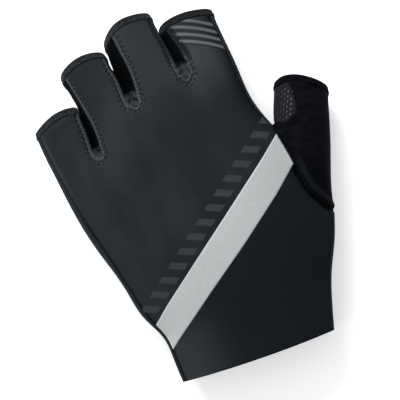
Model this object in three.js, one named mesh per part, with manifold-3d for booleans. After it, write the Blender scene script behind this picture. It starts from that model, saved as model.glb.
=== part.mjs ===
// A fingerless cycling mitt for the left hand, lying palm down.
// Millimetres. +Y runs from the wrist to the fingertips, +X to the thumb and +Z out of the back of the hand.
// The whole wall is one smooth surface through a net of wanted places. It is parted along the seams into
// pieces, and each piece gets its own thickness.

import * as THREE from 'three';
import { mergeVertices } from 'three/addons/utils/BufferGeometryUtils.js';
import Module from 'manifold-3d';

const wasm = await Module();
wasm.setup();

// Driving sizes
const GLOVE_LENGTH = 158.6; // from the wrist edge to just short of the middle finger's end
const PALM_WIDTH = 100; // across the palm at the foot of the thumb
const BACK_HEIGHT = 36; // from the surface under the palm to the crest of the back
const FABRIC_WALL = 1.2;
const THUMB_WALL = 1.4;
const HEM_WALL = 1.9; // two layers, turned in and stitched down
const HEM_RISE = 0.35; // the outer face of a hem over the fabric beside it
const HEM_DEPTH = 3.6; // along the finger
const FINGER_GAP = 0.7; // between the walls of two neighbouring fingers at their crotch
const SEAM_GAP = 0.3; // between two pieces that are sewn together
const STRIPE_WALL = 0.4;
const STRIPE_CLEARANCE = 0.3; // between the stripe and the fabric under it
const MESH_PITCH = 2.4; // between the perforations of the thumb inset
const MESH_HOLE = 1.2; // across a perforation
const MESH_MARGIN = 1.35; // from a perforation to the border of the inset
const PALM_PRESS = 0.5; // how deep the palm is pressed flat on the surface it lies on
const WRIST_BOW = 0.8; // the middle of the wrist edge behind its two ends

// Shares that shape the palm
const CREST_SHARE = 0.47; // where the back is highest, across from the pinky seam to the thumb seam
const CREST_POWER = 2.6; // how full the back is
const FLOOR_INSET = 0.028; // from the side of the palm to the outermost line of its underside
const FLOOR_EDGE_LIFTS = [0.115, 0.012]; // the rise of the outermost lines of the underside
const ROOT_SETBACK = 0.018; // the underside of a finger root behind its top
const ROOT_FLOOR_INSET = 0.014; // the same inset where the fingers begin
const WEB_BOW = 0.0045; // the middle of a web behind its two sides
const SECTION_POWER = 2.2; // the section of a finger, 2 for an ellipse and more for a squarer one
const FINGER_FLOOR_SHARES = [0.14, 0.5, 0.86]; // the lines under a finger, across it

const MESH_HOLE_SIDES = 5;
const MESH_PIN_WALLS = 4; // how many walls long the pin is that cuts a perforation
const FIT_ROUNDS = 8;
const STRAIGHT_ENOUGH = 0.05; // the squared sine under which a border has no corner
const FINENESS = 1;

// Across the palm, from the pinky side to the thumb side: x as a share of the palm's width, along as a share
// of the way from the wrist to the finger roots, and each rise as a share of the back's height. The thumb
// leaves the palm between its foot row and its crotch row.
const palmRows = [
  { along: 0, pinkySide: -0.346, pinkySeam: -0.339, thumbSeam: 0.345, thumbSide: 0.352,
    pinkyRise: 0.583, crestRise: 0.861, thumbRise: 0.556, sideRise: 0.375, press: 0 },
  { along: 0.105, pinkySide: -0.352, pinkySeam: -0.346, thumbSeam: 0.376, thumbSide: 0.386,
    pinkyRise: 0.611, crestRise: 0.889, thumbRise: 0.556, sideRise: 0.383, press: 1 },
  { along: 0.210, pinkySide: -0.365, pinkySeam: -0.358, thumbSeam: 0.416, thumbSide: 0.427,
    pinkyRise: 0.633, crestRise: 0.928, thumbRise: 0.556, sideRise: 0.389, press: 1 },
  { along: 0.315, pinkySide: -0.420, pinkySeam: -0.405, thumbSeam: 0.470, thumbSide: 0.484,
    pinkyRise: 0.656, crestRise: 0.967, thumbRise: 0.542, sideRise: 0.383, press: 1 },
  { along: 0.424, pinkySide: -0.448, pinkySeam: -0.434, thumbSeam: 0.512, thumbSide: 0.523,
    pinkyRise: 0.672, crestRise: 0.994, thumbRise: 0.522, sideRise: 0.367, press: 1, thumb: 'foot' },
  { along: 0.521, pinkySide: -0.472, pinkySeam: -0.459, thumbSeam: 0.452, thumbSide: 0.490,
    pinkyRise: 0.678, crestRise: 1, thumbRise: 0.667, sideRise: 0.367, press: 1 },
  { along: 0.647, pinkySide: -0.516, pinkySeam: -0.492, thumbSeam: 0.423, thumbSide: 0.462,
    pinkyRise: 0.672, crestRise: 0.989, thumbRise: 0.683, sideRise: 0.372, press: 1 },
  { along: 0.773, pinkySide: -0.548, pinkySeam: -0.528, thumbSeam: 0.393, thumbSide: 0.395,
    pinkyRise: 0.650, crestRise: 0.956, thumbRise: 0.628, sideRise: 0.389, press: 1, thumb: 'crotch' },
  { along: 0.890, pinkySide: -0.570, pinkySeam: -0.549, thumbSeam: 0.338, thumbSide: 0.342,
    pinkyRise: 0.622, crestRise: 0.906, thumbRise: 0.572, sideRise: 0.378, press: 0 },
];

const thumbFootRow = palmRows.findIndex(({ thumb }) => thumb === 'foot');
const thumbCrotchRow = palmRows.findIndex(({ thumb }) => thumb === 'crotch');

// Where the lines that run up the back reach the fingers: x as a share of the width, y of the length and the
// rises of the top and the underside as shares of the height.
const rootLines = [
  { line: 'pinkyOuter', x: -0.569, y: 0.646, rise: 0.594, floorRise: 0.067 },
  { line: 'pinkyCrest', x: -0.485, y: 0.662, rise: 0.706, floorRise: 0.072 },
  { line: 'pinkyInner', x: -0.407, y: 0.670, rise: 0.664, floorRise: 0.100 },
  { line: 'pinkyRingWeb', x: -0.378, y: 0.654, rise: 0.689, floorRise: 0.100 },
  { line: 'ringOuter', x: -0.345, y: 0.670, rise: 0.700, floorRise: 0.100 },
  { line: 'ringCrest', x: -0.270, y: 0.725, rise: 0.794, floorRise: 0.078 },
  { line: 'ringInner', x: -0.194, y: 0.769, rise: 0.739, floorRise: 0.106 },
  { line: 'ringMiddleWeb', x: -0.155, y: 0.752, rise: 0.750, floorRise: 0.106 },
  { line: 'middleOuter', x: -0.119, y: 0.771, rise: 0.756, floorRise: 0.106 },
  { line: 'middleCrest', x: -0.025, y: 0.791, rise: 0.822, floorRise: 0.078 },
  { line: 'middleInner', x: 0.065, y: 0.802, rise: 0.750, floorRise: 0.106 },
  { line: 'middleIndexWeb', x: 0.100, y: 0.777, rise: 0.750, floorRise: 0.106 },
  { line: 'indexOuter', x: 0.137, y: 0.800, rise: 0.733, floorRise: 0.106 },
  { line: 'indexCrest', x: 0.230, y: 0.785, rise: 0.778, floorRise: 0.078 },
  { line: 'indexInner', x: 0.319, y: 0.750, rise: 0.544, floorRise: 0.072 },
];
const rootSides = {
  pinky: { x: -0.585, y: 0.650, rise: 0.361 },
  index: { x: 0.326, y: 0.750, rise: 0.361 },
};
const crotches = [
  { piece: 'fourchette_pinky_ring', web: 3, x: -0.369, y: 0.680, rise: 0.417 },
  { piece: 'fourchette_ring_middle', web: 7, x: -0.158, y: 0.791, rise: 0.444 },
  { piece: 'fourchette_middle_index', web: 11, x: 0.092, y: 0.840, rise: 0.444 },
];

// Sections of each finger from its root to its end. outer and inner are the places of its two sides, [x, y],
// toward the pinky and toward the thumb. The seams lie on top between them. lean is how far the top of the
// section runs ahead of its middle, for each millimetre of height.
const fingers = [
  { name: 'pinky', rootLine: 0, sections: [
    { outer: [-0.595, 0.701], inner: [-0.380, 0.728], outerSeam: -0.586, innerSeam: -0.410,
      centre: 0.367, half: 0.267, lean: 0.20 },
    { outer: [-0.602, 0.744], inner: [-0.386, 0.765], outerSeam: -0.594, innerSeam: -0.416,
      centre: 0.333, half: 0.258, lean: 0.35 },
    { outer: [-0.604, 0.779], inner: [-0.401, 0.808], outerSeam: -0.596, innerSeam: -0.419,
      centre: 0.289, half: 0.253, lean: 0.42 },
  ] },
  { name: 'ring', rootLine: 4, sections: [
    { outer: [-0.374, 0.731], inner: [-0.177, 0.826], outerSeam: -0.346, innerSeam: -0.203,
      centre: 0.400, half: 0.303, lean: 0.22 },
    { outer: [-0.386, 0.788], inner: [-0.194, 0.863], outerSeam: -0.364, innerSeam: -0.212,
      centre: 0.361, half: 0.292, lean: 0.38 },
    { outer: [-0.424, 0.900], inner: [-0.211, 0.923], outerSeam: -0.402, innerSeam: -0.229,
      centre: 0.283, half: 0.275, lean: 0.54 },
  ] },
  { name: 'middle', rootLine: 8, sections: [
    { outer: [-0.170, 0.835], inner: [0.069, 0.871], outerSeam: -0.113, innerSeam: 0.052,
      centre: 0.406, half: 0.306, lean: 0.25 },
    { outer: [-0.190, 0.880], inner: [0.055, 0.907], outerSeam: -0.124, innerSeam: 0.041,
      centre: 0.367, half: 0.297, lean: 0.42 },
    { outer: [-0.196, 0.957], inner: [0.033, 0.987], outerSeam: -0.143, innerSeam: 0.020,
      centre: 0.294, half: 0.283, lean: 0.52 },
  ] },
  { name: 'index', rootLine: 12, sections: [
    { outer: [0.077, 0.873], inner: [0.319, 0.805], outerSeam: 0.129, innerSeam: 0.309,
      centre: 0.389, half: 0.300, lean: 0.18 },
    { outer: [0.066, 0.896], inner: [0.309, 0.864], outerSeam: 0.112, innerSeam: 0.297,
      centre: 0.356, half: 0.294, lean: 0.28 },
    { outer: [0.052, 0.941], inner: [0.298, 0.945], outerSeam: 0.088, innerSeam: 0.282,
      centre: 0.294, half: 0.281, lean: 0.38 },
  ] },
];

// Sections of the thumb, seen from above: six places, [x, y], from its side next to the index finger over
// its top to its outer side.
const thumbSections = [
  { inner: [0.396, 0.588], innerTop: [0.415, 0.577], meshEdge: [0.462, 0.549],
    crest: [0.506, 0.485], outerTop: [0.544, 0.417], outer: [0.555, 0.392],
    centre: 0.372, half: 0.322, under: 0.2 },
  { inner: [0.400, 0.600], innerTop: [0.448, 0.586], meshEdge: [0.502, 0.598],
    crest: [0.554, 0.559], outerTop: [0.592, 0.502], outer: [0.602, 0.483],
    centre: 0.367, half: 0.306, under: 0.2, inset: 'begins' },
  { inner: [0.418, 0.634], innerTop: [0.464, 0.630], meshEdge: [0.519, 0.637],
    crest: [0.578, 0.613], outerTop: [0.627, 0.573], outer: [0.637, 0.556],
    centre: 0.344, half: 0.300, under: 0.5 },
  { inner: [0.461, 0.702], innerTop: [0.482, 0.710], meshEdge: [0.516, 0.712],
    crest: [0.582, 0.698], outerTop: [0.655, 0.664], outer: [0.674, 0.640],
    centre: 0.294, half: 0.283, under: 1 },
];
const insetSection = thumbSections.findIndex(({ inset }) => inset === 'begins');

// The two edges of the light stripe, seen from above.
const stripeStations = [
  { x: -0.460, upper: 0.129, lower: 0.032 },
  { x: -0.300, upper: 0.218, lower: 0.117 },
  { x: -0.100, upper: 0.318, lower: 0.213 },
  { x: 0.100, upper: 0.416, lower: 0.306 },
  { x: 0.300, upper: 0.516, lower: 0.405 },
  { x: 0.460, upper: 0.602, lower: 0.495 },
];

// The net of wanted places, and its four-sided faces with the piece that each belongs to
const net = { places: [], faces: [] };

function place(x, y, rise) {
  net.places.push(new THREE.Vector3(x * PALM_WIDTH, y * GLOVE_LENGTH, rise * BACK_HEIGHT));
  return net.places.length - 1;
}

function face(piece, corners) {
  net.faces.push({ piece, corners });
}

const mix = THREE.MathUtils.lerp;

// One row across the palm: the top lines, the thumb side, the lines of the underside and the pinky side.
function palmRow(row) {
  const last = rootLines.length - 1;
  const rootLeft = rootLines[0].x;
  const rootWidth = rootLines[last].x - rootLeft;
  const top = [];
  const floor = [];
  rootLines.forEach((root, index) => {
    const share = mix(index / last, (root.x - rootLeft) / rootWidth, row.along);
    const nearThumb = share > CREST_SHARE;
    const edgeRise = nearThumb ? row.thumbRise : row.pinkyRise;
    const reach = nearThumb ? 1 - CREST_SHARE : CREST_SHARE;
    const fall = (Math.abs(share - CREST_SHARE) / reach) ** CREST_POWER;
    const bow = row.along === 0 ? 1 - (2 * index / last - 1) ** 2 : 0;
    const y = row.along * root.y - bow * WRIST_BOW / GLOVE_LENGTH;
    top.push(place(mix(row.pinkySeam, row.thumbSeam, share), y, mix(row.crestRise, edgeRise, fall)));
    const lift = FLOOR_EDGE_LIFTS[Math.min(index, last - index)];
    const floorX = mix(row.pinkySide + FLOOR_INSET, row.thumbSide - FLOOR_INSET, share);
    const floorRise = lift ?? -row.press * PALM_PRESS / BACK_HEIGHT;
    floor.push(place(floorX, y, floorRise));
  });
  const pinkySide = place(row.pinkySide, row.along * rootLines[0].y, row.sideRise);
  const thumbSide = place(row.thumbSide, row.along * rootLines[last].y, row.sideRise);
  return { top, floor, pinkySide, thumbSide };
}

// The last row, where the fingers begin.
function rootRow() {
  const last = rootLines.length - 1;
  const top = rootLines.map((root) => place(root.x, root.y, root.rise));
  const floor = rootLines.map((root, index) => {
    const inset = (index === 0) - (index === last);
    return place(root.x + inset * ROOT_FLOOR_INSET, root.y - ROOT_SETBACK, root.floorRise);
  });
  const pinkySide = place(rootSides.pinky.x, rootSides.pinky.y, rootSides.pinky.rise);
  const thumbSide = place(rootSides.index.x, rootSides.index.y, rootSides.index.rise);
  return { top, floor, pinkySide, thumbSide };
}

// A row as one closed loop, as seen from the wrist, clockwise.
const loopOf = (row) => [...row.top, row.thumbSide, ...[...row.floor].reverse(), row.pinkySide];

function joinLoops(from, to, pieceOf) {
  from.forEach((corner, index) => {
    const next = (index + 1) % from.length;
    const piece = pieceOf(index);
    if (piece) face(piece, [corner, from[next], to[next], to[index]]);
  });
}

function buildPalm() {
  const rows = palmRows.map(palmRow);
  rows.push(rootRow());
  const topFaces = rootLines.length - 1;
  const thumbSideFaces = [topFaces, topFaces + 1];
  for (let r = 0; r < rows.length - 1; r += 1) {
    const inThumbHole = r >= thumbFootRow && r < thumbCrotchRow;
    joinLoops(loopOf(rows[r]), loopOf(rows[r + 1]), (index) => {
      if (index < topFaces) return 'back_panel';
      if (inThumbHole && thumbSideFaces.includes(index)) return null;
      return 'palm_panel';
    });
  }
  return rows;
}

// The middle of a web between two fingers: three places side by side, as far apart as the fingers.
function buildWeb(crotch, root) {
  const halfGap = FINGER_GAP / 2 / PALM_WIDTH;
  const inner = place(crotch.x - halfGap, crotch.y + WEB_BOW, crotch.rise);
  const middle = place(crotch.x, crotch.y, crotch.rise);
  const outer = place(crotch.x + halfGap, crotch.y + WEB_BOW, crotch.rise);
  const web = crotch.web;
  face(crotch.piece, [root.top[web - 1], root.top[web], middle, inner]);
  face(crotch.piece, [root.top[web], root.top[web + 1], outer, middle]);
  face(crotch.piece, [inner, middle, root.floor[web], root.floor[web - 1]]);
  face(crotch.piece, [middle, outer, root.floor[web + 1], root.floor[web]]);
  return { inner, outer };
}

// The half height of a section at a share of the way across it.
const sectionHeight = (share) => (1 - Math.abs(2 * share - 1) ** SECTION_POWER) ** (1 / SECTION_POWER);

function fingerLoop(section) {
  const { outer, inner, centre, half, lean } = section;
  const seamShare = (x) => (x - outer[0]) / (inner[0] - outer[0]);
  const at = (share, side) => {
    const height = side * sectionHeight(share) * half;
    const x = mix(outer[0], inner[0], share);
    const y = mix(outer[1], inner[1], share) + lean * height * BACK_HEIGHT / GLOVE_LENGTH;
    return place(x, y, centre + height);
  };
  const outerTop = seamShare(section.outerSeam);
  const innerTop = seamShare(section.innerSeam);
  const tops = [outerTop, (outerTop + innerTop) / 2, innerTop];
  return [
    ...tops.map((share) => at(share, 1)),
    place(inner[0], inner[1], centre),
    ...[...FINGER_FLOOR_SHARES].reverse().map((share) => at(share, -1)),
    place(outer[0], outer[1], centre),
  ];
}

// The line where a hem begins, its depth behind the end loop.
function hemLoop(before, end) {
  return end.map((corner, index) => {
    const tip = net.places[corner];
    const back = net.places[before[index]].clone().sub(tip).setLength(HEM_DEPTH);
    net.places.push(tip.clone().add(back));
    return net.places.length - 1;
  });
}

function buildFinger(finger, order, root, webs) {
  const first = finger.rootLine;
  const innerSide = webs[order] ? webs[order].inner : root.thumbSide;
  const outerSide = webs[order - 1] ? webs[order - 1].outer : root.pinkySide;
  const rootLoop = [
    root.top[first], root.top[first + 1], root.top[first + 2], innerSide,
    root.floor[first + 2], root.floor[first + 1], root.floor[first], outerSide,
  ];
  const loops = [rootLoop, ...finger.sections.map(fingerLoop)];
  const end = loops.pop();
  loops.push(hemLoop(loops.at(-1), end), end);
  const innerPiece = crotches[order] ? crotches[order].piece : 'palm_panel';
  const outerPiece = crotches[order - 1] ? crotches[order - 1].piece : 'palm_panel';
  const pieces = ['back_panel', 'back_panel', innerPiece, innerPiece,
    'palm_panel', 'palm_panel', outerPiece, outerPiece];
  for (let j = 0; j < loops.length - 1; j += 1) {
    const isHem = j === loops.length - 2;
    joinLoops(loops[j], loops[j + 1], (index) => (isHem ? `hem_${finger.name}` : pieces[index]));
  }
}

// One loop round the thumb: over its top from the inner side to the outer side, and back underneath, where
// each place mirrors the one above it in the line between the two sides.
function thumbLoop(section) {
  const inner = new THREE.Vector2(section.inner[0] * PALM_WIDTH, section.inner[1] * GLOVE_LENGTH);
  const outer = new THREE.Vector2(section.outer[0] * PALM_WIDTH, section.outer[1] * GLOVE_LENGTH);
  const across = outer.clone().sub(inner);
  const width = across.length();
  across.normalize();
  const ahead = new THREE.Vector2(-across.y, across.x);
  const at = (spot, side) => {
    const offset = new THREE.Vector2(spot[0] * PALM_WIDTH, spot[1] * GLOVE_LENGTH).sub(inner);
    const along = offset.dot(across);
    const lead = offset.dot(ahead) * (side > 0 ? 1 : -section.under);
    const flat = inner.clone().addScaledVector(across, along).addScaledVector(ahead, lead);
    const rise = section.centre + side * section.half * sectionHeight(along / width);
    return place(flat.x / PALM_WIDTH, flat.y / GLOVE_LENGTH, rise);
  };
  const tops = [section.innerTop, section.meshEdge, section.crest, section.outerTop];
  return [
    ...tops.map((spot) => at(spot, 1)),
    place(section.outer[0], section.outer[1], section.centre),
    ...[...tops].reverse().map((spot) => at(spot, -1)),
    place(section.inner[0], section.inner[1], section.centre),
  ];
}

function buildThumb(rows) {
  const foot = rows[thumbFootRow];
  const crotch = rows[thumbCrotchRow];
  const holeRows = rows.slice(thumbFootRow, thumbCrotchRow + 1);
  const topLine = holeRows.map((row) => row.top.at(-1)).reverse();
  const floorLine = holeRows.map((row) => row.floor.at(-1));
  const holeLoop = [...topLine, foot.thumbSide, ...floorLine, crotch.thumbSide];
  const loops = [holeLoop, ...thumbSections.map(thumbLoop)];
  const end = loops.pop();
  loops.push(hemLoop(loops.at(-1), end), end);
  const meshFaces = [0, holeLoop.length - 3, holeLoop.length - 2, holeLoop.length - 1];
  for (let j = 0; j < loops.length - 1; j += 1) {
    const isHem = j === loops.length - 2;
    const inMesh = j > insetSection;
    joinLoops(loops[j], loops[j + 1], (index) => {
      if (isHem) return 'hem_thumb';
      return inMesh && meshFaces.includes(index) ? 'thumb_mesh' : 'thumb_sleeve';
    });
  }
}

// Smooth subdivision of a net of four-sided faces, with open edges as smooth curves
function neighboursOf(mesh) {
  const around = mesh.places.map(() => ({ edges: new Set(), corners: [], faces: 0, open: [] }));
  const edges = new Map();
  const count = mesh.places.length;
  mesh.faces.forEach(({ corners }, faceIndex) => {
    corners.forEach((corner, index) => {
      const next = corners[(index + 1) % 4];
      const opposite = corners[(index + 2) % 4];
      around[corner].corners.push(opposite);
      around[corner].faces += 1;
      around[corner].edges.add(next);
      around[next].edges.add(corner);
      const key = Math.min(corner, next) * count + Math.max(corner, next);
      if (!edges.has(key)) edges.set(key, { ends: [corner, next], faces: [] });
      edges.get(key).faces.push(faceIndex);
    });
  });
  edges.forEach(({ ends, faces }) => {
    if (faces.length > 1) return;
    around[ends[0]].open.push(ends[1]);
    around[ends[1]].open.push(ends[0]);
  });
  return { around, edges, count };
}

const sumOf = (mesh, indices) => {
  const sum = new THREE.Vector3();
  indices.forEach((index) => sum.add(mesh.places[index]));
  return sum;
};

// Where each place ends up on the smooth surface.
function smoothPlaces(mesh) {
  const { around } = neighboursOf(mesh);
  return mesh.places.map((spot, index) => {
    const { edges, corners, faces, open } = around[index];
    if (open.length > 0) return sumOf(mesh, open).addScaledVector(spot, 4).divideScalar(6);
    const smooth = sumOf(mesh, corners).addScaledVector(sumOf(mesh, edges), 4);
    return smooth.addScaledVector(spot, faces * faces).divideScalar(faces * (faces + 5));
  });
}

// Moves the net out until its smooth surface runs through the wanted places.
function fitNet(wanted) {
  const mesh = { places: wanted.places.map((spot) => spot.clone()), faces: wanted.faces };
  for (let round = 0; round < FIT_ROUNDS; round += 1) {
    smoothPlaces(mesh).forEach((smooth, index) => {
      mesh.places[index].add(wanted.places[index]).sub(smooth);
    });
  }
  return mesh;
}

function subdivide(mesh) {
  const { around, edges, count } = neighboursOf(mesh);
  const places = [];
  const facePlaces = mesh.faces.map(({ corners }) => sumOf(mesh, corners).divideScalar(4));
  mesh.places.forEach((spot, index) => {
    const { edges: ends, faces, open } = around[index];
    if (open.length > 0) {
      places.push(sumOf(mesh, open).addScaledVector(spot, 6).divideScalar(8));
      return;
    }
    places.push(sumOf(mesh, ends).addScaledVector(spot, faces * (faces - 2)).divideScalar(faces * faces));
  });
  mesh.faces.forEach(({ corners }, faceIndex) => {
    corners.forEach((corner) => {
      const { open, faces } = around[corner];
      if (open.length === 0) places[corner].addScaledVector(facePlaces[faceIndex], 1 / (faces * faces));
    });
  });
  const edgeIndex = new Map();
  edges.forEach(({ ends, faces }, key) => {
    const middle = sumOf(mesh, ends);
    if (faces.length > 1) {
      faces.forEach((faceIndex) => middle.add(facePlaces[faceIndex]));
      middle.divideScalar(4);
    } else {
      middle.divideScalar(2);
    }
    edgeIndex.set(key, places.length);
    places.push(middle);
  });
  const faceOffset = places.length;
  places.push(...facePlaces);
  const faces = [];
  const edgeAt = (a, b) => edgeIndex.get(Math.min(a, b) * count + Math.max(a, b));
  mesh.faces.forEach(({ piece, corners }, faceIndex) => {
    corners.forEach((corner, index) => {
      const next = corners[(index + 1) % 4];
      const before = corners[(index + 3) % 4];
      const ahead = edgeAt(corner, next);
      const behind = edgeAt(before, corner);
      faces.push({ piece, corners: [corner, ahead, faceOffset + faceIndex, behind] });
    });
  });
  return { places, faces };
}

function normalsOf(mesh) {
  const normals = mesh.places.map(() => new THREE.Vector3());
  mesh.faces.forEach(({ corners }) => {
    const [a, b, c, d] = corners.map((corner) => mesh.places[corner]);
    const normal = c.clone().sub(a).cross(d.clone().sub(b));
    corners.forEach((corner) => normals[corner].add(normal));
  });
  return normals.map((normal) => normal.normalize());
}

// The faces of one piece with its border, which stays half the seam gap away from the line of a seam.
function patchOf(mesh, normals, piece) {
  const key = (a, b) => a * mesh.places.length + b;
  const edgesOf = (faces) => faces.flatMap(({ corners }) => (
    corners.map((corner, index) => [corner, corners[(index + 1) % 4]])));
  const faces = mesh.faces.filter((item) => item.piece === piece);
  const edges = edgesOf(faces);
  const ownEdges = new Set(edges.map(([from, to]) => key(from, to)));
  const allEdges = new Set(edgesOf(mesh.faces).map(([from, to]) => key(from, to)));
  const border = edges.filter(([from, to]) => !ownEdges.has(key(to, from)));
  const sides = new Map();
  border.forEach(([from, to]) => {
    const setback = allEdges.has(key(to, from)) ? SEAM_GAP / 2 : 0;
    const run = mesh.places[to].clone().sub(mesh.places[from]);
    [from, to].forEach((end) => {
      const inward = normals[end].clone().cross(run).normalize();
      sides.set(end, [...(sides.get(end) ?? []), { inward, setback }]);
    });
  });
  const shifts = new Map([...sides].map(([index, pair]) => [index, cornerShift(...pair)]));
  return { mesh, normals, faces, border, shifts };
}

// The closed body of a patch, between two heights over the smooth surface.
function shellOf(patch, outerRise, innerRise) {
  const indexOf = new Map();
  const coords = [];
  const add = (index, rise) => {
    const name = `${index}/${rise}`;
    if (!indexOf.has(name)) {
      const spot = patch.mesh.places[index].clone().addScaledVector(patch.normals[index], rise);
      if (patch.shifts.has(index)) spot.add(patch.shifts.get(index));
      spot.setZ(Math.max(spot.z, 0));
      indexOf.set(name, coords.length / 3);
      coords.push(...spot.toArray());
    }
    return indexOf.get(name);
  };
  const triangles = [];
  const quad = (a, b, c, d) => triangles.push(a, b, c, a, c, d);
  patch.faces.forEach(({ corners }) => {
    quad(...corners.map((corner) => add(corner, outerRise)));
    const [a, b, c, d] = corners.map((corner) => add(corner, innerRise));
    triangles.push(a, c, b, a, d, c);
  });
  patch.border.forEach(([from, to]) => {
    const [fromOuter, toOuter] = [add(from, outerRise), add(to, outerRise)];
    const [fromInner, toInner] = [add(from, innerRise), add(to, innerRise)];
    if (from < to) quad(fromOuter, fromInner, toInner, toOuter);
    else quad(toOuter, fromOuter, fromInner, toInner);
  });
  const geometry = new THREE.BufferGeometry();
  geometry.setAttribute('position', new THREE.Float32BufferAttribute(coords, 3));
  geometry.setIndex(triangles);
  return geometry;
}

// How far a border place moves so that both border lines that meet there keep their setback.
function cornerShift(one, two) {
  const cosine = one.inward.dot(two.inward);
  const sine2 = Math.max(1 - cosine * cosine, 0);
  if (sine2 < STRAIGHT_ENOUGH) {
    const middle = one.inward.clone().add(two.inward).normalize();
    return middle.multiplyScalar(Math.max(one.setback, two.setback));
  }
  const a = (one.setback - two.setback * cosine) / sine2;
  const b = (two.setback - one.setback * cosine) / sine2;
  const shift = one.inward.clone().multiplyScalar(a).addScaledVector(two.inward, b);
  return shift.clampLength(0, SEAM_GAP);
}

function toSolid(geometry) {
  const bare = geometry.clone();
  bare.deleteAttribute('normal');
  bare.deleteAttribute('uv');
  const merged = mergeVertices(bare);
  return new wasm.Manifold(new wasm.Mesh({
    numProp: 3,
    vertProperties: new Float32Array(merged.attributes.position.array),
    triVerts: new Uint32Array(merged.index.array),
  }));
}

function toGeometry(solid) {
  const mesh = solid.getMesh();
  const geometry = new THREE.BufferGeometry();
  geometry.setAttribute('position', new THREE.BufferAttribute(mesh.vertProperties, 3));
  geometry.setIndex(new THREE.BufferAttribute(mesh.triVerts, 1));
  return geometry;
}

// The light stripe: a thin skin over the back, cut to its two edges.
function stripeOf(back) {
  const skin = toSolid(shellOf(back, STRIPE_CLEARANCE + STRIPE_WALL, STRIPE_CLEARANCE));
  const upper = stripeStations.map(({ x, upper: y }) => new THREE.Vector2(x * PALM_WIDTH, y * GLOVE_LENGTH));
  const lower = stripeStations.map(({ x, lower: y }) => new THREE.Vector2(x * PALM_WIDTH, y * GLOVE_LENGTH));
  const outline = new THREE.Shape([...lower, ...upper.reverse()]);
  const overTheBack = 2 * BACK_HEIGHT;
  const band = new THREE.ExtrudeGeometry(outline, { depth: overTheBack, bevelEnabled: false });
  return toGeometry(skin.intersect(toSolid(band)));
}

// Where a line out of the thumb's axis leaves the inset, or null where it misses it or runs near its border.
function holeSpot(patch, ray) {
  const spots = patch.mesh.places;
  const hit = new THREE.Vector3();
  const found = patch.faces.some(({ corners: [a, b, c, d] }) => (
    ray.intersectTriangle(spots[a], spots[b], spots[c], false, hit)
    || ray.intersectTriangle(spots[a], spots[c], spots[d], false, hit)));
  if (!found) return null;
  const near = patch.border.some(([from, to]) => {
    const edge = new THREE.Line3(spots[from], spots[to]);
    const closest = edge.closestPointToPoint(hit, true, new THREE.Vector3());
    return closest.distanceTo(hit) < MESH_MARGIN + MESH_HOLE / 2;
  });
  return near ? null : hit;
}

// The thumb inset with its perforations, in offset rows along the thumb's axis.
function perforated(patch, geometry) {
  const middleOf = ({ inner, outer, centre }) => new THREE.Vector3(
    (inner[0] + outer[0]) / 2 * PALM_WIDTH, (inner[1] + outer[1]) / 2 * GLOVE_LENGTH, centre * BACK_HEIGHT);
  const start = middleOf(thumbSections[insetSection]);
  const end = middleOf(thumbSections.at(-1));
  const axis = end.clone().sub(start).setZ(0).normalize();
  const inward = new THREE.Vector3(-axis.y, axis.x, 0);
  const up = new THREE.Vector3(0, 0, 1);
  const radius = thumbSections[insetSection + 1].half * BACK_HEIGHT;
  const rowPitch = MESH_PITCH * Math.sqrt(3) / 2 / radius;
  const rowsUp = Math.floor(Math.PI / 2 / rowPitch);
  const steps = Math.ceil(end.distanceTo(start) / MESH_PITCH);
  let solid = toSolid(geometry);
  for (let row = -rowsUp; row <= rowsUp; row += 1) {
    const angle = row * rowPitch;
    const out = inward.clone().multiplyScalar(Math.cos(angle)).addScaledVector(up, Math.sin(angle));
    const turn = new THREE.Quaternion().setFromUnitVectors(new THREE.Vector3(0, 1, 0), out);
    for (let step = -steps; step <= steps; step += 1) {
      const along = (step + (row & 1) / 2) * MESH_PITCH;
      const hit = holeSpot(patch, new THREE.Ray(start.clone().addScaledVector(axis, along), out));
      if (hit) {
        const length = MESH_PIN_WALLS * FABRIC_WALL;
        const pin = new THREE.CylinderGeometry(MESH_HOLE / 2, MESH_HOLE / 2, length, MESH_HOLE_SIDES);
        pin.applyQuaternion(turn).translate(hit.x, hit.y, hit.z);
        solid = solid.subtract(toSolid(pin));
      }
    }
  }
  return toGeometry(solid);
}

const looks = {
  back_panel: { color: 0x26292b, roughness: 0.8, metalness: 0 },
  palm_panel: { color: 0x1d1e20, roughness: 0.95, metalness: 0 },
  fourchette: { color: 0x2c2e30, roughness: 0.85, metalness: 0 },
  thumb_sleeve: { color: 0x0d0e11, roughness: 1, metalness: 0 },
  thumb_mesh: { color: 0x303234, roughness: 0.9, metalness: 0 },
  hem: { color: 0x2f3234, roughness: 0.85, metalness: 0 },
  reflective_stripe: { color: 0xc4c7c8, roughness: 0.45, metalness: 0 },
};

// Each piece with its look and the rises of its two faces over the fabric's outer surface.
const pieces = [
  { name: 'back_panel', look: 'back_panel', outer: 0, inner: -FABRIC_WALL },
  { name: 'palm_panel', look: 'palm_panel', outer: 0, inner: -FABRIC_WALL },
  ...crotches.map(({ piece }) => ({ name: piece, look: 'fourchette', outer: 0, inner: -FABRIC_WALL })),
  { name: 'thumb_sleeve', look: 'thumb_sleeve', outer: 0, inner: -THUMB_WALL },
  { name: 'thumb_mesh', look: 'thumb_mesh', outer: 0, inner: -FABRIC_WALL },
  ...fingers.map(({ name }) => (
    { name: `hem_${name}`, look: 'hem', outer: HEM_RISE, inner: HEM_RISE - HEM_WALL })),
  { name: 'hem_thumb', look: 'thumb_sleeve', outer: HEM_RISE, inner: HEM_RISE - HEM_WALL },
];

const rows = buildPalm();
const root = rows.at(-1);
const webs = crotches.map((crotch) => buildWeb(crotch, root));
fingers.forEach((finger, order) => buildFinger(finger, order, root, webs));
buildThumb(rows);

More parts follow.
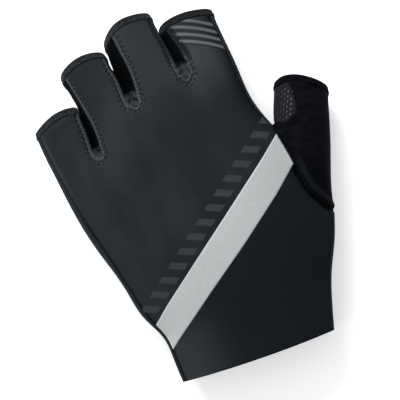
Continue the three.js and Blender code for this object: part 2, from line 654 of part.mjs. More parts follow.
let surface = fitNet(net);
for (let pass = 0; pass < FINENESS; pass += 1) surface = subdivide(surface);
surface.places = smoothPlaces(surface);
surface.places.forEach((spot) => spot.setZ(Math.max(spot.z, 0)));
const normals = normalsOf(surface);

const glove = new THREE.Group();
function addPiece(name, look, geometry) {
  const mesh = new THREE.Mesh(geometry, new THREE.MeshStandardMaterial(looks[look]));
  mesh.name = name;
  glove.add(mesh);
}
pieces.forEach(({ name, look, outer, inner }) => {
  const patch = patchOf(surface, normals, name);
  const shell = shellOf(patch, outer, inner);
  addPiece(name, look, name === 'thumb_mesh' ? perforated(patch, shell) : shell);
});
addPiece('reflective_stripe', 'reflective_stripe', stripeOf(patchOf(surface, normals, 'back_panel')));

// The origin is under the middle of the glove's box, on the surface it lies on.
const box = new THREE.Box3().setFromObject(glove);
const middle = box.getCenter(new THREE.Vector3());
glove.position.set(-middle.x, -middle.y, -box.min.z);

export default glove;
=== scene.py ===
"""A fingerless cycling mitt for the left hand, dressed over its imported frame.

Lengths are millimetres in the hand frame: X to the thumb, Y from the wrist to the fingertips, Z out of the
back of the hand, with the origin at the middle of the wrist edge. The tables from PALM_ROWS to
THUMB_SECTIONS hold shares of PALM_WIDTH, GLOVE_LENGTH and BACK_HEIGHT. Meshes are in metres.
"""
import math

import bpy
import numpy as np
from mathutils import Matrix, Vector
from mathutils.bvhtree import BVHTree
from mathutils.kdtree import KDTree


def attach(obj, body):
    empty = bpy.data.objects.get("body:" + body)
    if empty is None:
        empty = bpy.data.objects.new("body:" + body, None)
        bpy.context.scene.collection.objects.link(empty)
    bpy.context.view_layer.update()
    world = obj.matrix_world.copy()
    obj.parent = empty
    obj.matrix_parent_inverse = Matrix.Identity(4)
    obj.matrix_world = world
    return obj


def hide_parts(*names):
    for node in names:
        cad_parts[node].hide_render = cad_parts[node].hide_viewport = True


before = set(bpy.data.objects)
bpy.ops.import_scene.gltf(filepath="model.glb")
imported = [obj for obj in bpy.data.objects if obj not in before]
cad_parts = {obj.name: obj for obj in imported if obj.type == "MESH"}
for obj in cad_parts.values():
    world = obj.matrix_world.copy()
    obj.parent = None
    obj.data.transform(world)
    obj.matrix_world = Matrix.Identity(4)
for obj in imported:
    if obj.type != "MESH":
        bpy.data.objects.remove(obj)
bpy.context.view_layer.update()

MM = 0.001
GLOVE_LENGTH = 158.6
PALM_WIDTH = 100.0
BACK_HEIGHT = 36.0
FABRIC_WALL = 1.2
THUMB_WALL = 1.4
HEM_WALL = 1.9
HEM_RISE = 0.35  # how far a hem stands out of the cloth
HEM_DEPTH = 3.6
FINGER_GAP = 0.7  # between the walls of two neighbouring fingers at their crotch
PALM_PRESS = 0.5  # how far the palm's net lies below the floor, so that the palm comes out flat
WRIST_BOW = 0.8  # how far the wrist edge bows out at its middle
SEAM_GAP = 0.12  # between two pieces sewn together
WEB_CLOTH = (9.0, 3.0)  # the length and width of cloth in one face of a crotch
HAND_TO_PART = np.array([-3.30, -79.55, 0.0])

CREST_SHARE = 0.47  # where the back is highest, from the pinky seam to the thumb seam
CREST_POWER = 2.6
FLOOR_INSET = 0.028
FLOOR_EDGE_LIFTS = (0.115, 0.012)  # of the palm's outermost line and of the next
ROOT_SETBACK = 0.018
ROOT_FLOOR_INSET = 0.014
WEB_BOW = 0.0045
SECTION_POWER = 2.2  # 2 is round, and more is squarer
FINGER_FLOOR_SHARES = (0.14, 0.5, 0.86)
FIT_ROUNDS = 8
COLUMN = 6.5  # the width of cloth from one line of the net to the next

# How often the net is made finer, after which of them the back is relaxed, and how
FINE, COARSE, RELAXED = 4, 3, 2
FINENESS = {"palm_panel": COARSE}
RELAX_ROUNDS = 14
RELAX_MARGIN = 2.5  # beside the seams, where the cloth stays
RELAX_PULL = 0.5

# along, pinky side, pinky seam, thumb seam, thumb side, rises at the pinky seam, the crest, the thumb seam
# and the sides, and whether the palm is pressed flat there
PALM_ROWS = [
    (0, -0.346, -0.339, 0.345, 0.352, 0.583, 0.861, 0.556, 0.375, 0),
    (0.105, -0.352, -0.346, 0.376, 0.386, 0.611, 0.889, 0.556, 0.383, 1),
    (0.210, -0.365, -0.358, 0.416, 0.427, 0.633, 0.928, 0.556, 0.389, 1),
    (0.315, -0.420, -0.405, 0.470, 0.484, 0.656, 0.967, 0.542, 0.383, 1),
    (0.424, -0.448, -0.434, 0.512, 0.523, 0.672, 0.994, 0.522, 0.367, 1),
    (0.521, -0.472, -0.459, 0.452, 0.490, 0.678, 1, 0.667, 0.367, 1),
    (0.647, -0.516, -0.492, 0.423, 0.462, 0.672, 0.989, 0.683, 0.372, 1),
    (0.773, -0.548, -0.528, 0.393, 0.395, 0.650, 0.956, 0.628, 0.389, 1),
    (0.890, -0.570, -0.549, 0.338, 0.342, 0.622, 0.906, 0.572, 0.378, 0),
]
THUMB_FOOT_ROW = 4
THUMB_CROTCH_ROW = 7

# x, y, rise and the rise of the underside of each line where it reaches the fingers
ROOT_LINES = [
    (-0.569, 0.646, 0.594, 0.067), (-0.485, 0.662, 0.706, 0.072), (-0.407, 0.670, 0.664, 0.100),
    (-0.378, 0.654, 0.689, 0.100), (-0.345, 0.670, 0.700, 0.100), (-0.270, 0.725, 0.794, 0.078),
    (-0.194, 0.769, 0.739, 0.106), (-0.155, 0.752, 0.750, 0.106), (-0.119, 0.771, 0.756, 0.106),
    (-0.025, 0.791, 0.822, 0.078), (0.065, 0.802, 0.750, 0.106), (0.100, 0.777, 0.750, 0.106),
    (0.137, 0.800, 0.733, 0.106), (0.230, 0.785, 0.778, 0.078), (0.319, 0.750, 0.544, 0.072),
]
ROOT_SIDES = ((-0.585, 0.650, 0.361), (0.326, 0.750, 0.361))

# piece, its line at the roots, then x, y and rise of the crotch
CROTCHES = [
    ("fourchette_pinky_ring", 3, -0.369, 0.680, 0.417),
    ("fourchette_ring_middle", 7, -0.158, 0.791, 0.444),
    ("fourchette_middle_index", 11, 0.092, 0.840, 0.444),
]

# outer and inner side, outer and inner seam, middle height, half height, lean
FINGERS = [
    ("pinky", 0, [
        ((-0.595, 0.701), (-0.380, 0.728), -0.586, -0.410, 0.367, 0.267, 0.20),
        ((-0.602, 0.744), (-0.386, 0.765), -0.594, -0.416, 0.333, 0.258, 0.35),
        ((-0.604, 0.779), (-0.401, 0.808), -0.596, -0.419, 0.289, 0.253, 0.42)]),
    ("ring", 4, [
        ((-0.374, 0.731), (-0.177, 0.826), -0.346, -0.203, 0.400, 0.303, 0.22),
        ((-0.386, 0.788), (-0.194, 0.863), -0.364, -0.212, 0.361, 0.292, 0.38),
        ((-0.424, 0.900), (-0.211, 0.923), -0.402, -0.229, 0.283, 0.275, 0.54)]),
    ("middle", 8, [
        ((-0.170, 0.835), (0.069, 0.871), -0.113, 0.052, 0.406, 0.306, 0.25),
        ((-0.190, 0.880), (0.055, 0.907), -0.124, 0.041, 0.367, 0.297, 0.42),
        ((-0.196, 0.957), (0.033, 0.987), -0.143, 0.020, 0.294, 0.283, 0.52)]),
    ("index", 12, [
        ((0.077, 0.873), (0.319, 0.805), 0.129, 0.309, 0.389, 0.300, 0.18),
        ((0.066, 0.896), (0.309, 0.864), 0.112, 0.297, 0.356, 0.294, 0.28),
        ((0.052, 0.941), (0.298, 0.945), 0.088, 0.282, 0.294, 0.281, 0.38)]),
]

# inner side, inner top, edge of the mesh inset, crest, outer top, outer side, middle height, half height
# and how much the underside follows the top
THUMB_SECTIONS = [
    ((0.396, 0.588), (0.415, 0.577), (0.462, 0.549), (0.506, 0.485), (0.544, 0.417), (0.555, 0.392),
     0.372, 0.322, 0.2),
    ((0.400, 0.600), (0.448, 0.586), (0.502, 0.598), (0.554, 0.559), (0.592, 0.502), (0.602, 0.483),
     0.367, 0.306, 0.2),
    ((0.418, 0.634), (0.464, 0.630), (0.519, 0.637), (0.578, 0.613), (0.627, 0.573), (0.637, 0.556),
     0.344, 0.300, 0.5),
    ((0.461, 0.702), (0.482, 0.710), (0.516, 0.712), (0.582, 0.698), (0.655, 0.664), (0.674, 0.640),
     0.294, 0.283, 1),
]
MESH_FIRST_SECTION = 2

# the two edges of the light stripe: x, upper, lower
STRIPE = [(-46.0, 20.5, 5.1), (-30.0, 34.6, 18.6), (-10.0, 50.4, 33.8), (10.0, 66.0, 48.5),
          (30.0, 81.8, 64.2), (46.0, 95.5, 78.5)]

# The middle of each slit between two fingers, seen from above, from its crotch to the notch where it opens
SLITS = [
    [(-36.9, 106.8), (-37.7, 116), (-38.3, 121), (-39.5, 129)],
    [(-15.6, 124.5), (-17.3, 131.5), (-19.5, 139)],
    [(9.4, 132.4), (7.2, 138.3), (6, 143), (4.8, 148)],
]
SLIT_PRESS = 0.24  # how far each wall is pressed past that line
SLIT_MOST = 1.0  # the most that a wall moves
SLIT_STATIONS = 49  # places along a slit where its width is read
SLIT_SPAN = 0.5  # how far from a station a place of the wall still counts
SLIT_WIDEST = 3.0  # a wider gap stays open
SLIT_FADE = 4.0  # how far behind the wall the cloth follows it
SLIT_BEYOND = (1.0, 1.5)  # how far past the two ends of a slit its walls still move
SLIT_END = 2.0  # how soon they come to rest there

# Folds of the cloth seen from above: a line, how far it reaches to its sides and how high it stands
FOLDS = [
    ([(41.9, 71.5), (43.0, 66), (45.0, 60), (47.2, 55), (49.8, 51.4)], 1.4, -1.4),
    ([(44.6, 75), (45.2, 72), (46.9, 66), (49.0, 60), (50.8, 56), (52.8, 52)], 1.2, 0.7),
    ([(-42, 105.3), (-39, 105)], 0.8, -0.45),
    ([(-17.5, 121.5), (-15.5, 122.4), (-13.5, 121.8)], 0.6, 0.6),
    ([(-16.6, 123.9), (-13.8, 123.6)], 0.55, -0.7),
    ([(-18.2, 125.4), (-15.6, 125.6), (-13.2, 124.9)], 0.6, 0.55),
    ([(6.8, 126.4), (9.4, 127.4), (12.6, 126.0)], 0.55, 0.55),
    ([(7.4, 128.0), (10.0, 128.6), (12.6, 128.0)], 0.5, -0.7),
    ([(6.4, 129.6), (9.6, 129.9), (12.8, 130.6)], 0.55, 0.6),
    ([(7.0, 131.4), (10.0, 131.6), (12.8, 132.4)], 0.5, -0.6),
    ([(7.6, 133.0), (10.0, 133.0), (12.4, 134.4)], 0.55, 0.5),
]
FOLD_FADE = 3  # how soon folds end where the cloth turns down

FAR = 1e9
AWAY = 50.0  # the distance from a border that a piece doesn't have
STRIPS = tuple(crotch[0] for crotch in CROTCHES)
SEAMS = {  # the seams of a piece round the finger slits, and its other long seams
    "back_panel": (STRIPS, ("palm_panel", "thumb_sleeve")),
    "palm_panel": (STRIPS, ("back_panel",)),
    "thumb_sleeve": (("thumb_mesh",), ("back_panel",)),
    "thumb_mesh": (("thumb_sleeve",), ()),
    **{name: (("back_panel",), ("palm_panel",)) for name in STRIPS},
}


def mix(a, b, share):
    return a + (b - a) * share


def unit(vectors):
    """Vectors brought to a length of 1. Those of no length stay so."""
    return vectors / np.maximum(np.linalg.norm(vectors, axis=-1, keepdims=True), 1e-9)


def reach_of(line):
    """How far each place of a line is from its start, along it."""
    return np.append(0, np.cumsum(np.linalg.norm(np.diff(line, axis=0), axis=1)))


def tree_of(places):
    tree = KDTree(len(places))
    for i, place in enumerate(places):
        tree.insert(place, i)
    tree.balance()
    return tree


def gathered(count, index, values):
    """Values added up by the place that each belongs to."""
    total = np.zeros((count, 3))
    np.add.at(total, index.ravel(), values)
    return total


def border_of(quads, count):
    """The edges that only one of the quads has, in its own direction."""
    a, b = quads.ravel(), np.roll(quads, -1, axis=1).ravel()
    single = ~np.isin(a * count + b, b * count + a)
    return np.stack([a[single], b[single]], axis=1)


def shell_faces(quads, count):
    """A closed shell's faces: quads above, the same quads turned over below them, and the rim between."""
    a, b = border_of(quads, count).T
    rim = np.stack([b, a, a + count, b + count], axis=1)
    return np.concatenate([quads, quads[:, ::-1] + count, rim])


def beside_line(points, line, long_ends=True):
    """How far points seen from above are from a line of straight runs, along it and to its right.

    The last value is the way to the right. With long ends, the first and last run go on for ever.
    """
    nearest = np.full(len(points), FAR)
    reach, aside, out = np.zeros(len(points)), np.zeros(len(points)), np.zeros((len(points), 2))
    passed = 0.0
    for k, (start, end) in enumerate(zip(line[:-1], line[1:])):
        start, run = np.array(start), np.array(end) - np.array(start)
        length = np.linalg.norm(run)
        way = run / length
        right = np.array([way[1], -way[0]])
        held = np.clip((points - start) @ way, -FAR if long_ends and k == 0 else 0,
                       FAR if long_ends and k == len(line) - 2 else length)
        distance = np.linalg.norm(points - start - held[:, None] * way, axis=1)
        closer = distance < nearest
        nearest = np.where(closer, distance, nearest)
        reach = np.where(closer, passed + held, reach)
        aside = np.where(closer, (points - start) @ right, aside)
        out[closer] = right
        passed += length
    return nearest, reach, aside, out


class Net:
    """Wanted places on the outer surface, and four-sided faces with a piece and cloth coordinates each."""

    def __init__(self):
        self.places, self.faces, self.pieces, self.cloth = [], [], [], []

    def place(self, x, y, rise):
        self.places.append(np.array([x * PALM_WIDTH, y * GLOVE_LENGTH, rise * BACK_HEIGHT]))
        return len(self.places) - 1

    def face(self, piece, corners, cloth):
        self.faces.append(corners)
        self.pieces.append(piece)
        self.cloth.append(cloth)

    def join(self, one, two, piece_of, first_column=0):
        """A strip of faces between two loops, from the wrist to the fingertips."""
        low = float(np.mean([self.places[i][1] for i in one]))
        high = float(np.mean([self.places[i][1] for i in two]))
        for i, corner in enumerate(one):
            j = (i + 1) % len(one)
            piece = piece_of(i)
            if piece:
                left, right = (first_column + i) * COLUMN, (first_column + i + 1) * COLUMN
                self.face(piece, [corner, one[j], two[j], two[i]],
                          [(left, low), (right, low), (right, high), (left, high)])


def palm_row(net, row):
    along, pinky_side, pinky_seam, thumb_seam, thumb_side, pinky_rise, crest, thumb_rise, side, press = row
    last = len(ROOT_LINES) - 1
    left, width = ROOT_LINES[0][0], ROOT_LINES[-1][0] - ROOT_LINES[0][0]
    top, floor = [], []
    for i, (root_x, root_y, _, _) in enumerate(ROOT_LINES):
        share = mix(i / last, (root_x - left) / width, along)
        near_thumb = share > CREST_SHARE
        edge = thumb_rise if near_thumb else pinky_rise
        fall = (abs(share - CREST_SHARE) / ((1 - CREST_SHARE) if near_thumb else CREST_SHARE)) ** CREST_POWER
        bow = 1 - (2 * i / last - 1) ** 2 if along == 0 else 0
        y = along * root_y - bow * WRIST_BOW / GLOVE_LENGTH
        top.append(net.place(mix(pinky_seam, thumb_seam, share), y, mix(crest, edge, fall)))
        near_edge = min(i, last - i)
        lift = FLOOR_EDGE_LIFTS[near_edge] if near_edge < 2 else -press * PALM_PRESS / BACK_HEIGHT
        floor.append(net.place(mix(pinky_side + FLOOR_INSET, thumb_side - FLOOR_INSET, share), y, lift))
    pinky = net.place(pinky_side, along * ROOT_LINES[0][1], side)
    thumb = net.place(thumb_side, along * ROOT_LINES[-1][1], side)
    return top, floor, pinky, thumb


def root_row(net):
    top = [net.place(x, y, rise) for x, y, rise, _ in ROOT_LINES]
    floor = []
    for i, (x, y, _, floor_rise) in enumerate(ROOT_LINES):
        inset = (i == 0) - (i == len(ROOT_LINES) - 1)
        floor.append(net.place(x + inset * ROOT_FLOOR_INSET, y - ROOT_SETBACK, floor_rise))
    return top, floor, net.place(*ROOT_SIDES[0]), net.place(*ROOT_SIDES[1])


def loop_of(row):
    top, floor, pinky, thumb = row
    return top + [thumb] + floor[::-1] + [pinky]


def build_palm(net):
    rows = [palm_row(net, row) for row in PALM_ROWS] + [root_row(net)]
    tops = len(ROOT_LINES) - 1
    for r in range(len(rows) - 1):
        open_side = (tops, tops + 1) if THUMB_FOOT_ROW <= r < THUMB_CROTCH_ROW else ()
        net.join(loop_of(rows[r]), loop_of(rows[r + 1]),
                 lambda i: "back_panel" if i < tops else None if i in open_side else "palm_panel")
    return rows


def build_web(net, crotch, root):
    piece, web, x, y, rise = crotch
    top, floor = root[:2]
    half_gap = FINGER_GAP / 2 / PALM_WIDTH
    inner = net.place(x - half_gap, y + WEB_BOW, rise)
    middle = net.place(x, y, rise)
    outer = net.place(x + half_gap, y + WEB_BOW, rise)
    length, width = WEB_CLOTH
    for i, corners in enumerate(([top[web - 1], top[web], middle, inner],
                                 [top[web], top[web + 1], outer, middle],
                                 [inner, middle, floor[web], floor[web - 1]],
                                 [middle, outer, floor[web + 1], floor[web]])):
        v, u = (i // 2) * length, (i % 2) * width
        net.face(piece, corners, [(v, u), (v, u + width), (v + length, u + width), (v + length, u)])
    return inner, outer


def section_height(share):
    return (1 - abs(2 * share - 1) ** SECTION_POWER) ** (1 / SECTION_POWER)


def finger_loop(net, section):
    outer, inner, outer_seam, inner_seam, centre, half, lean = section

    def at(share, side):
        height = side * section_height(share) * half
        y = mix(outer[1], inner[1], share) + lean * height * BACK_HEIGHT / GLOVE_LENGTH
        return net.place(mix(outer[0], inner[0], share), y, centre + height)

    first, last = ((seam - outer[0]) / (inner[0] - outer[0]) for seam in (outer_seam, inner_seam))
    loop = [at(share, 1) for share in (first, (first + last) / 2, last)]
    loop.append(net.place(*inner, centre))
    loop += [at(share, -1) for share in FINGER_FLOOR_SHARES[::-1]]
    return loop + [net.place(*outer, centre)]


def hem_loop(net, before, end):
    loop = []
    for back, tip in zip(before, end):
        way = net.places[back] - net.places[tip]
        net.places.append(net.places[tip] + unit(way) * HEM_DEPTH)
        loop.append(len(net.places) - 1)
    return loop


def build_finger(net, order, root, webs):
    name, first, sections = FINGERS[order]
    top, floor, pinky, thumb = root
    inner = webs[order][0] if order < len(webs) else thumb
    outer = webs[order - 1][1] if order > 0 else pinky
    loops = [[top[first], top[first + 1], top[first + 2], inner,
              floor[first + 2], floor[first + 1], floor[first], outer]]
    loops += [finger_loop(net, section) for section in sections]
    end = loops.pop()
    loops += [hem_loop(net, loops[-1], end), end]
    inner_piece = CROTCHES[order][0] if order < len(CROTCHES) else "palm_panel"
    outer_piece = CROTCHES[order - 1][0] if order > 0 else "palm_panel"
    pieces = ["back_panel"] * 2 + [inner_piece] * 2 + ["palm_panel"] * 2 + [outer_piece] * 2
    for j in range(len(loops) - 1):
        is_hem = j == len(loops) - 2
        net.join(loops[j], loops[j + 1], lambda i: f"hem_{name}" if is_hem else pieces[i], first)


def thumb_loop(net, section):
    *spots, centre, half, under = section
    scale = np.array([PALM_WIDTH, GLOVE_LENGTH])
    inner, outer = np.array(spots[0]) * scale, np.array(spots[-1]) * scale
    across = outer - inner
    width = np.linalg.norm(across)
    across = across / width
    ahead = np.array([-across[1], across[0]])

    def at(spot, side):
        offset = np.array(spot) * scale - inner
        along = offset @ across
        flat = inner + along * across + (offset @ ahead) * (1 if side > 0 else -under) * ahead
        return net.place(*(flat / scale), centre + side * half * section_height(along / width))

    tops = spots[1:-1]
    return ([at(spot, 1) for spot in tops] + [net.place(*spots[-1], centre)]
            + [at(spot, -1) for spot in tops[::-1]] + [net.place(*spots[0], centre)])


def build_thumb(net, rows):
    foot, crotch = rows[THUMB_FOOT_ROW], rows[THUMB_CROTCH_ROW]
    hole = rows[THUMB_FOOT_ROW:THUMB_CROTCH_ROW + 1]
    start = [row[0][-1] for row in hole][::-1] + [foot[3]] + [row[1][-1] for row in hole] + [crotch[3]]
    loops = [start] + [thumb_loop(net, section) for section in THUMB_SECTIONS]
    end = loops.pop()
    loops += [hem_loop(net, loops[-1], end), end]
    mesh_faces = (0, len(start) - 3, len(start) - 2, len(start) - 1)
    for j in range(len(loops) - 1):
        is_hem, in_mesh = j == len(loops) - 2, j >= MESH_FIRST_SECTION
        net.join(loops[j], loops[j + 1], lambda i: "hem_thumb" if is_hem else
                 "thumb_mesh" if in_mesh and i in mesh_faces else "thumb_sleeve")


class Surface:
    """A smooth surface as arrays: places, quads, the piece of each quad and its cloth coordinates."""

    def __init__(self, places, quads, pieces, cloth):
        self.places, self.quads, self.pieces, self.cloth = places, quads, pieces, cloth

    def sums(self, low, high, values):
        total = np.zeros_like(self.places)
        np.add.at(total, low, values[high])
        np.add.at(total, high, values[low])
        return total

    def around(self):
        """Each edge's two ends, each side's edge, each edge's faces, and what lies round each place."""
        n = len(self.places)
        a, b = self.quads.ravel(), np.roll(self.quads, -1, axis=1).ravel()
        keys = np.minimum(a, b) * n + np.maximum(a, b)
        unique, which, counts = np.unique(keys, return_inverse=True, return_counts=True)
        low, high, which = unique // n, unique % n, which.reshape(self.quads.shape)
        faces = np.maximum(np.bincount(self.quads.ravel(), minlength=n), 1)[:, None].astype(float)
        single = counts == 1
        border = np.zeros(n, bool)
        border[low[single]] = border[high[single]] = True
        ends = self.sums(low, high, self.places)
        open_ends = self.sums(low[single], high[single], self.places)
        return low, high, which, counts, faces, border, ends, open_ends

    def smooth_places(self):
        *_, faces, border, ends, open_ends = self.around()
        opposite = self.places[np.roll(self.quads, 2, axis=1).ravel()]
        corners = gathered(len(self.places), self.quads, opposite)
        inside = (corners + 4 * ends + faces ** 2 * self.places) / (faces * (faces + 5))
        return np.where(border[:, None], (open_ends + 4 * self.places) / 6, inside)

    def fitted(self):
        """The net moved out until its smooth surface runs through the wanted places."""
        wanted = self.places.copy()
        for _ in range(FIT_ROUNDS):
            self.places = self.places + wanted - self.smooth_places()
        return self

    def finer(self):
        low, high, which, counts, faces, border, ends, open_ends = self.around()
        n = len(self.places)
        middles = self.places[self.quads].mean(axis=1)
        near = gathered(n, self.quads, np.repeat(middles, 4, axis=0))
        inside = (ends + faces * (faces - 2) * self.places + near) / faces ** 2
        corners = np.where(border[:, None], (open_ends + 6 * self.places) / 8, inside)
        edge_sum = self.places[low] + self.places[high]
        face_sum = gathered(len(low), which, np.repeat(middles, 4, axis=0))
        edge_places = np.where((counts == 2)[:, None], (edge_sum + face_sum) / 4, edge_sum / 2)
        ahead, behind = which + n, np.roll(which, 1, axis=1) + n
        centre = np.repeat(np.arange(len(self.quads))[:, None] + n + len(low), 4, axis=1)
        quads = np.stack([self.quads, ahead, centre, behind], axis=2).reshape(-1, 4)
        after, before = np.roll(self.cloth, -1, axis=1), np.roll(self.cloth, 1, axis=1)
        middle = np.repeat(self.cloth.mean(axis=1, keepdims=True), 4, axis=1)
        cloth = np.stack([self.cloth, (self.cloth + after) / 2, middle, (self.cloth + before) / 2], axis=2)
        return Surface(np.concatenate([corners, edge_places, middles]), quads,
                       np.repeat(self.pieces, 4), cloth.reshape(-1, 4, 2))

    def relaxed(self):
        """The back smoothed out between its seams, so that it lies as tight cloth does."""
        own = self.pieces == "back_panel"
        inside = np.zeros(len(self.places), bool)
        inside[self.quads[own].ravel()] = True
        inside[self.quads[~own].ravel()] = False
        low, high, *_, border, _, _ = self.around()
        edge = set(np.intersect1d(self.quads[own], self.quads[~own])) | set(np.flatnonzero(border))
        tree = tree_of(self.places[sorted(edge)])
        weight = np.zeros(len(self.places))
        for i in np.flatnonzero(inside):
            beyond = tree.find(self.places[i])[2] - RELAX_MARGIN
            weight[i] = min(max(beyond / RELAX_MARGIN, 0), 1) * RELAX_PULL
        ends = np.bincount(np.concatenate([low, high]), minlength=len(self.places))[:, None]
        for _ in range(RELAX_ROUNDS):
            mean = self.sums(low, high, self.places) / np.maximum(ends, 1)
            self.places = self.places + (mean - self.places) * weight[:, None]
        return self

    def drawn_together(self):
        """The walls of two neighbouring fingers moved up to the middle of their slit."""
        for (piece, *_), line in zip(CROTCHES, SLITS):
            own = np.unique(self.quads[self.pieces == piece])
            _, reach, aside, out = beside_line(self.places[:, :2], line)
            total = reach_of(line)[-1]
            stations = np.linspace(0, total, SLIT_STATIONS)
            ends = (np.clip((reach + SLIT_BEYOND[0]) / SLIT_END, 0, 1)
                    * np.clip((total + SLIT_BEYOND[1] - reach) / SLIT_END, 0, 1))
            for side in (-1, 1):
                out_of_it = aside * side
                wall = own[(out_of_it[own] > 0) & (np.abs(reach[own] - total / 2) < total / 2 + SLIT_END)]
                gaps = np.array([np.min(np.where(np.abs(reach[wall] - at) < SLIT_SPAN, out_of_it[wall], FAR))
                                 for at in stations])
                gap = np.interp(reach, stations, np.where(gaps > SLIT_WIDEST, 0, gaps))
                near = np.clip(1 - (out_of_it - gap) / SLIT_FADE, 0, 1) * (out_of_it > 0)
                shift = np.where(gap > 0, gap + SLIT_PRESS, 0) * ends * near ** 2 * (3 - 2 * near)
                self.places[:, :2] -= out * (side * np.minimum(shift, SLIT_MOST))[:, None]

    def settled(self):
        """The surface itself, with its normals, its folds pressed in and its underside on the floor."""
        self.places = self.smooth_places()
        self.drawn_together()
        self.places[:, 2] = np.maximum(self.places[:, 2], 0)
        self.normals = self.find_normals()
        lift = np.zeros(len(self.places))
        for line, reach, height in FOLDS:
            lift += height * np.exp(-(beside_line(self.places[:, :2], line, False)[0] / reach) ** 2)
        lift *= np.clip(self.normals[:, 2] * FOLD_FADE, 0, 1)
        self.places = self.places + self.normals * lift[:, None]
        self.normals = self.find_normals()
        return self

    def find_normals(self):
        a, b, c, d = (self.places[self.quads[:, k]] for k in range(4))
        across = np.cross(c - a, d - b)
        return unit(gathered(len(self.places), self.quads, np.repeat(across, 4, axis=0)))


def build_surfaces():
    net = Net()
    rows = build_palm(net)
    webs = [build_web(net, crotch, rows[-1]) for crotch in CROTCHES]
    for order in range(len(FINGERS)):
        build_finger(net, order, rows[-1], webs)
    build_thumb(net, rows)
    surface = Surface(np.array(net.places), np.array(net.faces), np.array(net.pieces),
                      np.array(net.cloth)).fitted()
    found = {}
    for level in range(1, FINE + 1):
        surface = surface.finer()
        if level == RELAXED:
            surface = surface.relaxed()
        if level >= COARSE:
            copy = Surface(surface.places, surface.quads, surface.pieces, surface.cloth)
            found[level] = copy.settled()
    return found


surfaces = build_surfaces()


class Panel:
    """The quads of one piece, its border and how far each of its places is from that border."""

    def __init__(self, piece):
        surface = surfaces[FINENESS.get(piece, FINE)]
        self.surface = surface
        own = surface.pieces == piece
        self.quads, self.cloth = surface.quads[own], surface.cloth[own]
        n = len(surface.places)
        self.border = border_of(self.quads, n)
        other = surface.quads[~own]
        a, b = other.ravel(), np.roll(other, -1, axis=1).ravel()
        neighbour = dict(zip((a * n + b).tolist(), np.repeat(surface.pieces[~own], 4).tolist()))
        self.beside = [neighbour.get(b * n + a, "") for a, b in self.border.tolist()]
        self.used = np.unique(self.quads)
        hems = {name for name in self.beside if name.startswith("hem_")}
        strips, sides = SEAMS.get(piece, ((), ()))
        self.depth = self.away_from(set(self.beside))
        self.to_seams = self.away_from(set(self.beside) - hems - {""})
        self.to_hems = self.away_from(hems)
        self.to_strips, self.to_sides = self.away_from(set(strips)), self.away_from(set(sides))

    def away_from(self, names):
        """How far each place is from the border with the named pieces."""
        starts = [a for (a, _), name in zip(self.border, self.beside) if name in names]
        if not starts:
            return np.full(len(self.used), AWAY)
        tree = tree_of(self.surface.places[starts])
        return np.array([tree.find(self.surface.places[i])[2] for i in self.used])

    def seam_with(self, other):
        """The places along the seam with another piece, as lines in order."""
        follow = {int(a): int(b) for (a, b), name in zip(self.border, self.beside) if name == other}
        lines = []
        while follow:
            starts = [a for a in follow if a not in set(follow.values())]
            at = starts[0] if starts else next(iter(follow))
            line = [at]
            while at in follow:
                at = follow.pop(at)
                line.append(at)
            lines.append(line)
        return lines


def new_object(name, places, faces, cloth=None, edge=None, smooth=True):
    """A mesh object from millimetres in the hand frame."""
    mesh = bpy.data.meshes.new(name)
    mesh.from_pydata(((np.asarray(places) + HAND_TO_PART) * MM).tolist(), [], [list(f) for f in faces])
    for layer_name, values in (("cloth", cloth), ("edge", edge)):
        if values is not None:
            layer = mesh.uv_layers.new(name=layer_name)
            layer.data.foreach_set("uv", np.asarray(values, dtype=float).ravel() * MM)
    mesh.polygons.foreach_set("use_smooth", [smooth] * len(mesh.polygons))
    mesh.update()
    made = bpy.data.objects.new(name, mesh)
    bpy.context.scene.collection.objects.link(made)
    return made


THINNEST = 0.05  # the least cloth between the floor and the inside


def sew_panel(panel, outer_rise, inner_rise):
    """A closed shell of cloth between two rises of a panel, as its places, faces, cloth and edge."""
    surface, used = panel.surface, panel.used
    index = np.full(len(surface.places), -1)
    index[used] = np.arange(len(used))
    shift = np.zeros((len(surface.places), 3))
    for (a, b), beside in zip(panel.border, panel.beside):
        if beside:
            run = surface.places[b] - surface.places[a]
            for end in (a, b):
                shift[end] += unit(np.cross(surface.normals[end], run))
    length = np.linalg.norm(shift, axis=1, keepdims=True)
    shift = unit(shift) * np.minimum(length, 1) * SEAM_GAP / 2
    base = surface.places[used] + shift[used]
    normals = surface.normals[used]
    outer = base + normals * outer_rise(panel)[:, None]
    inner = base + normals * inner_rise(panel)[:, None]
    outer[:, 2] = np.maximum(outer[:, 2], 0)
    inner[:, 2] = np.maximum(inner[:, 2], THINNEST)
    count = len(used)
    top = index[panel.quads]
    faces = shell_faces(top, count)
    cloth_of = np.zeros((count, 2))
    cloth_of[top.ravel()] = panel.cloth.reshape(-1, 2)
    rim = faces[2 * len(top):]
    cloth = np.concatenate([panel.cloth, panel.cloth[:, ::-1], cloth_of[rim % count]])
    edge = np.stack([panel.to_strips, panel.to_sides], axis=1)[faces % count]
    return np.concatenate([outer, inner]), faces, cloth, edge


def operation(kind):
    """A sum of a Value with numbers or other Values."""
    return lambda self, *others: self.look.node("ShaderNodeMath", {"operation": kind}, [self, *others])


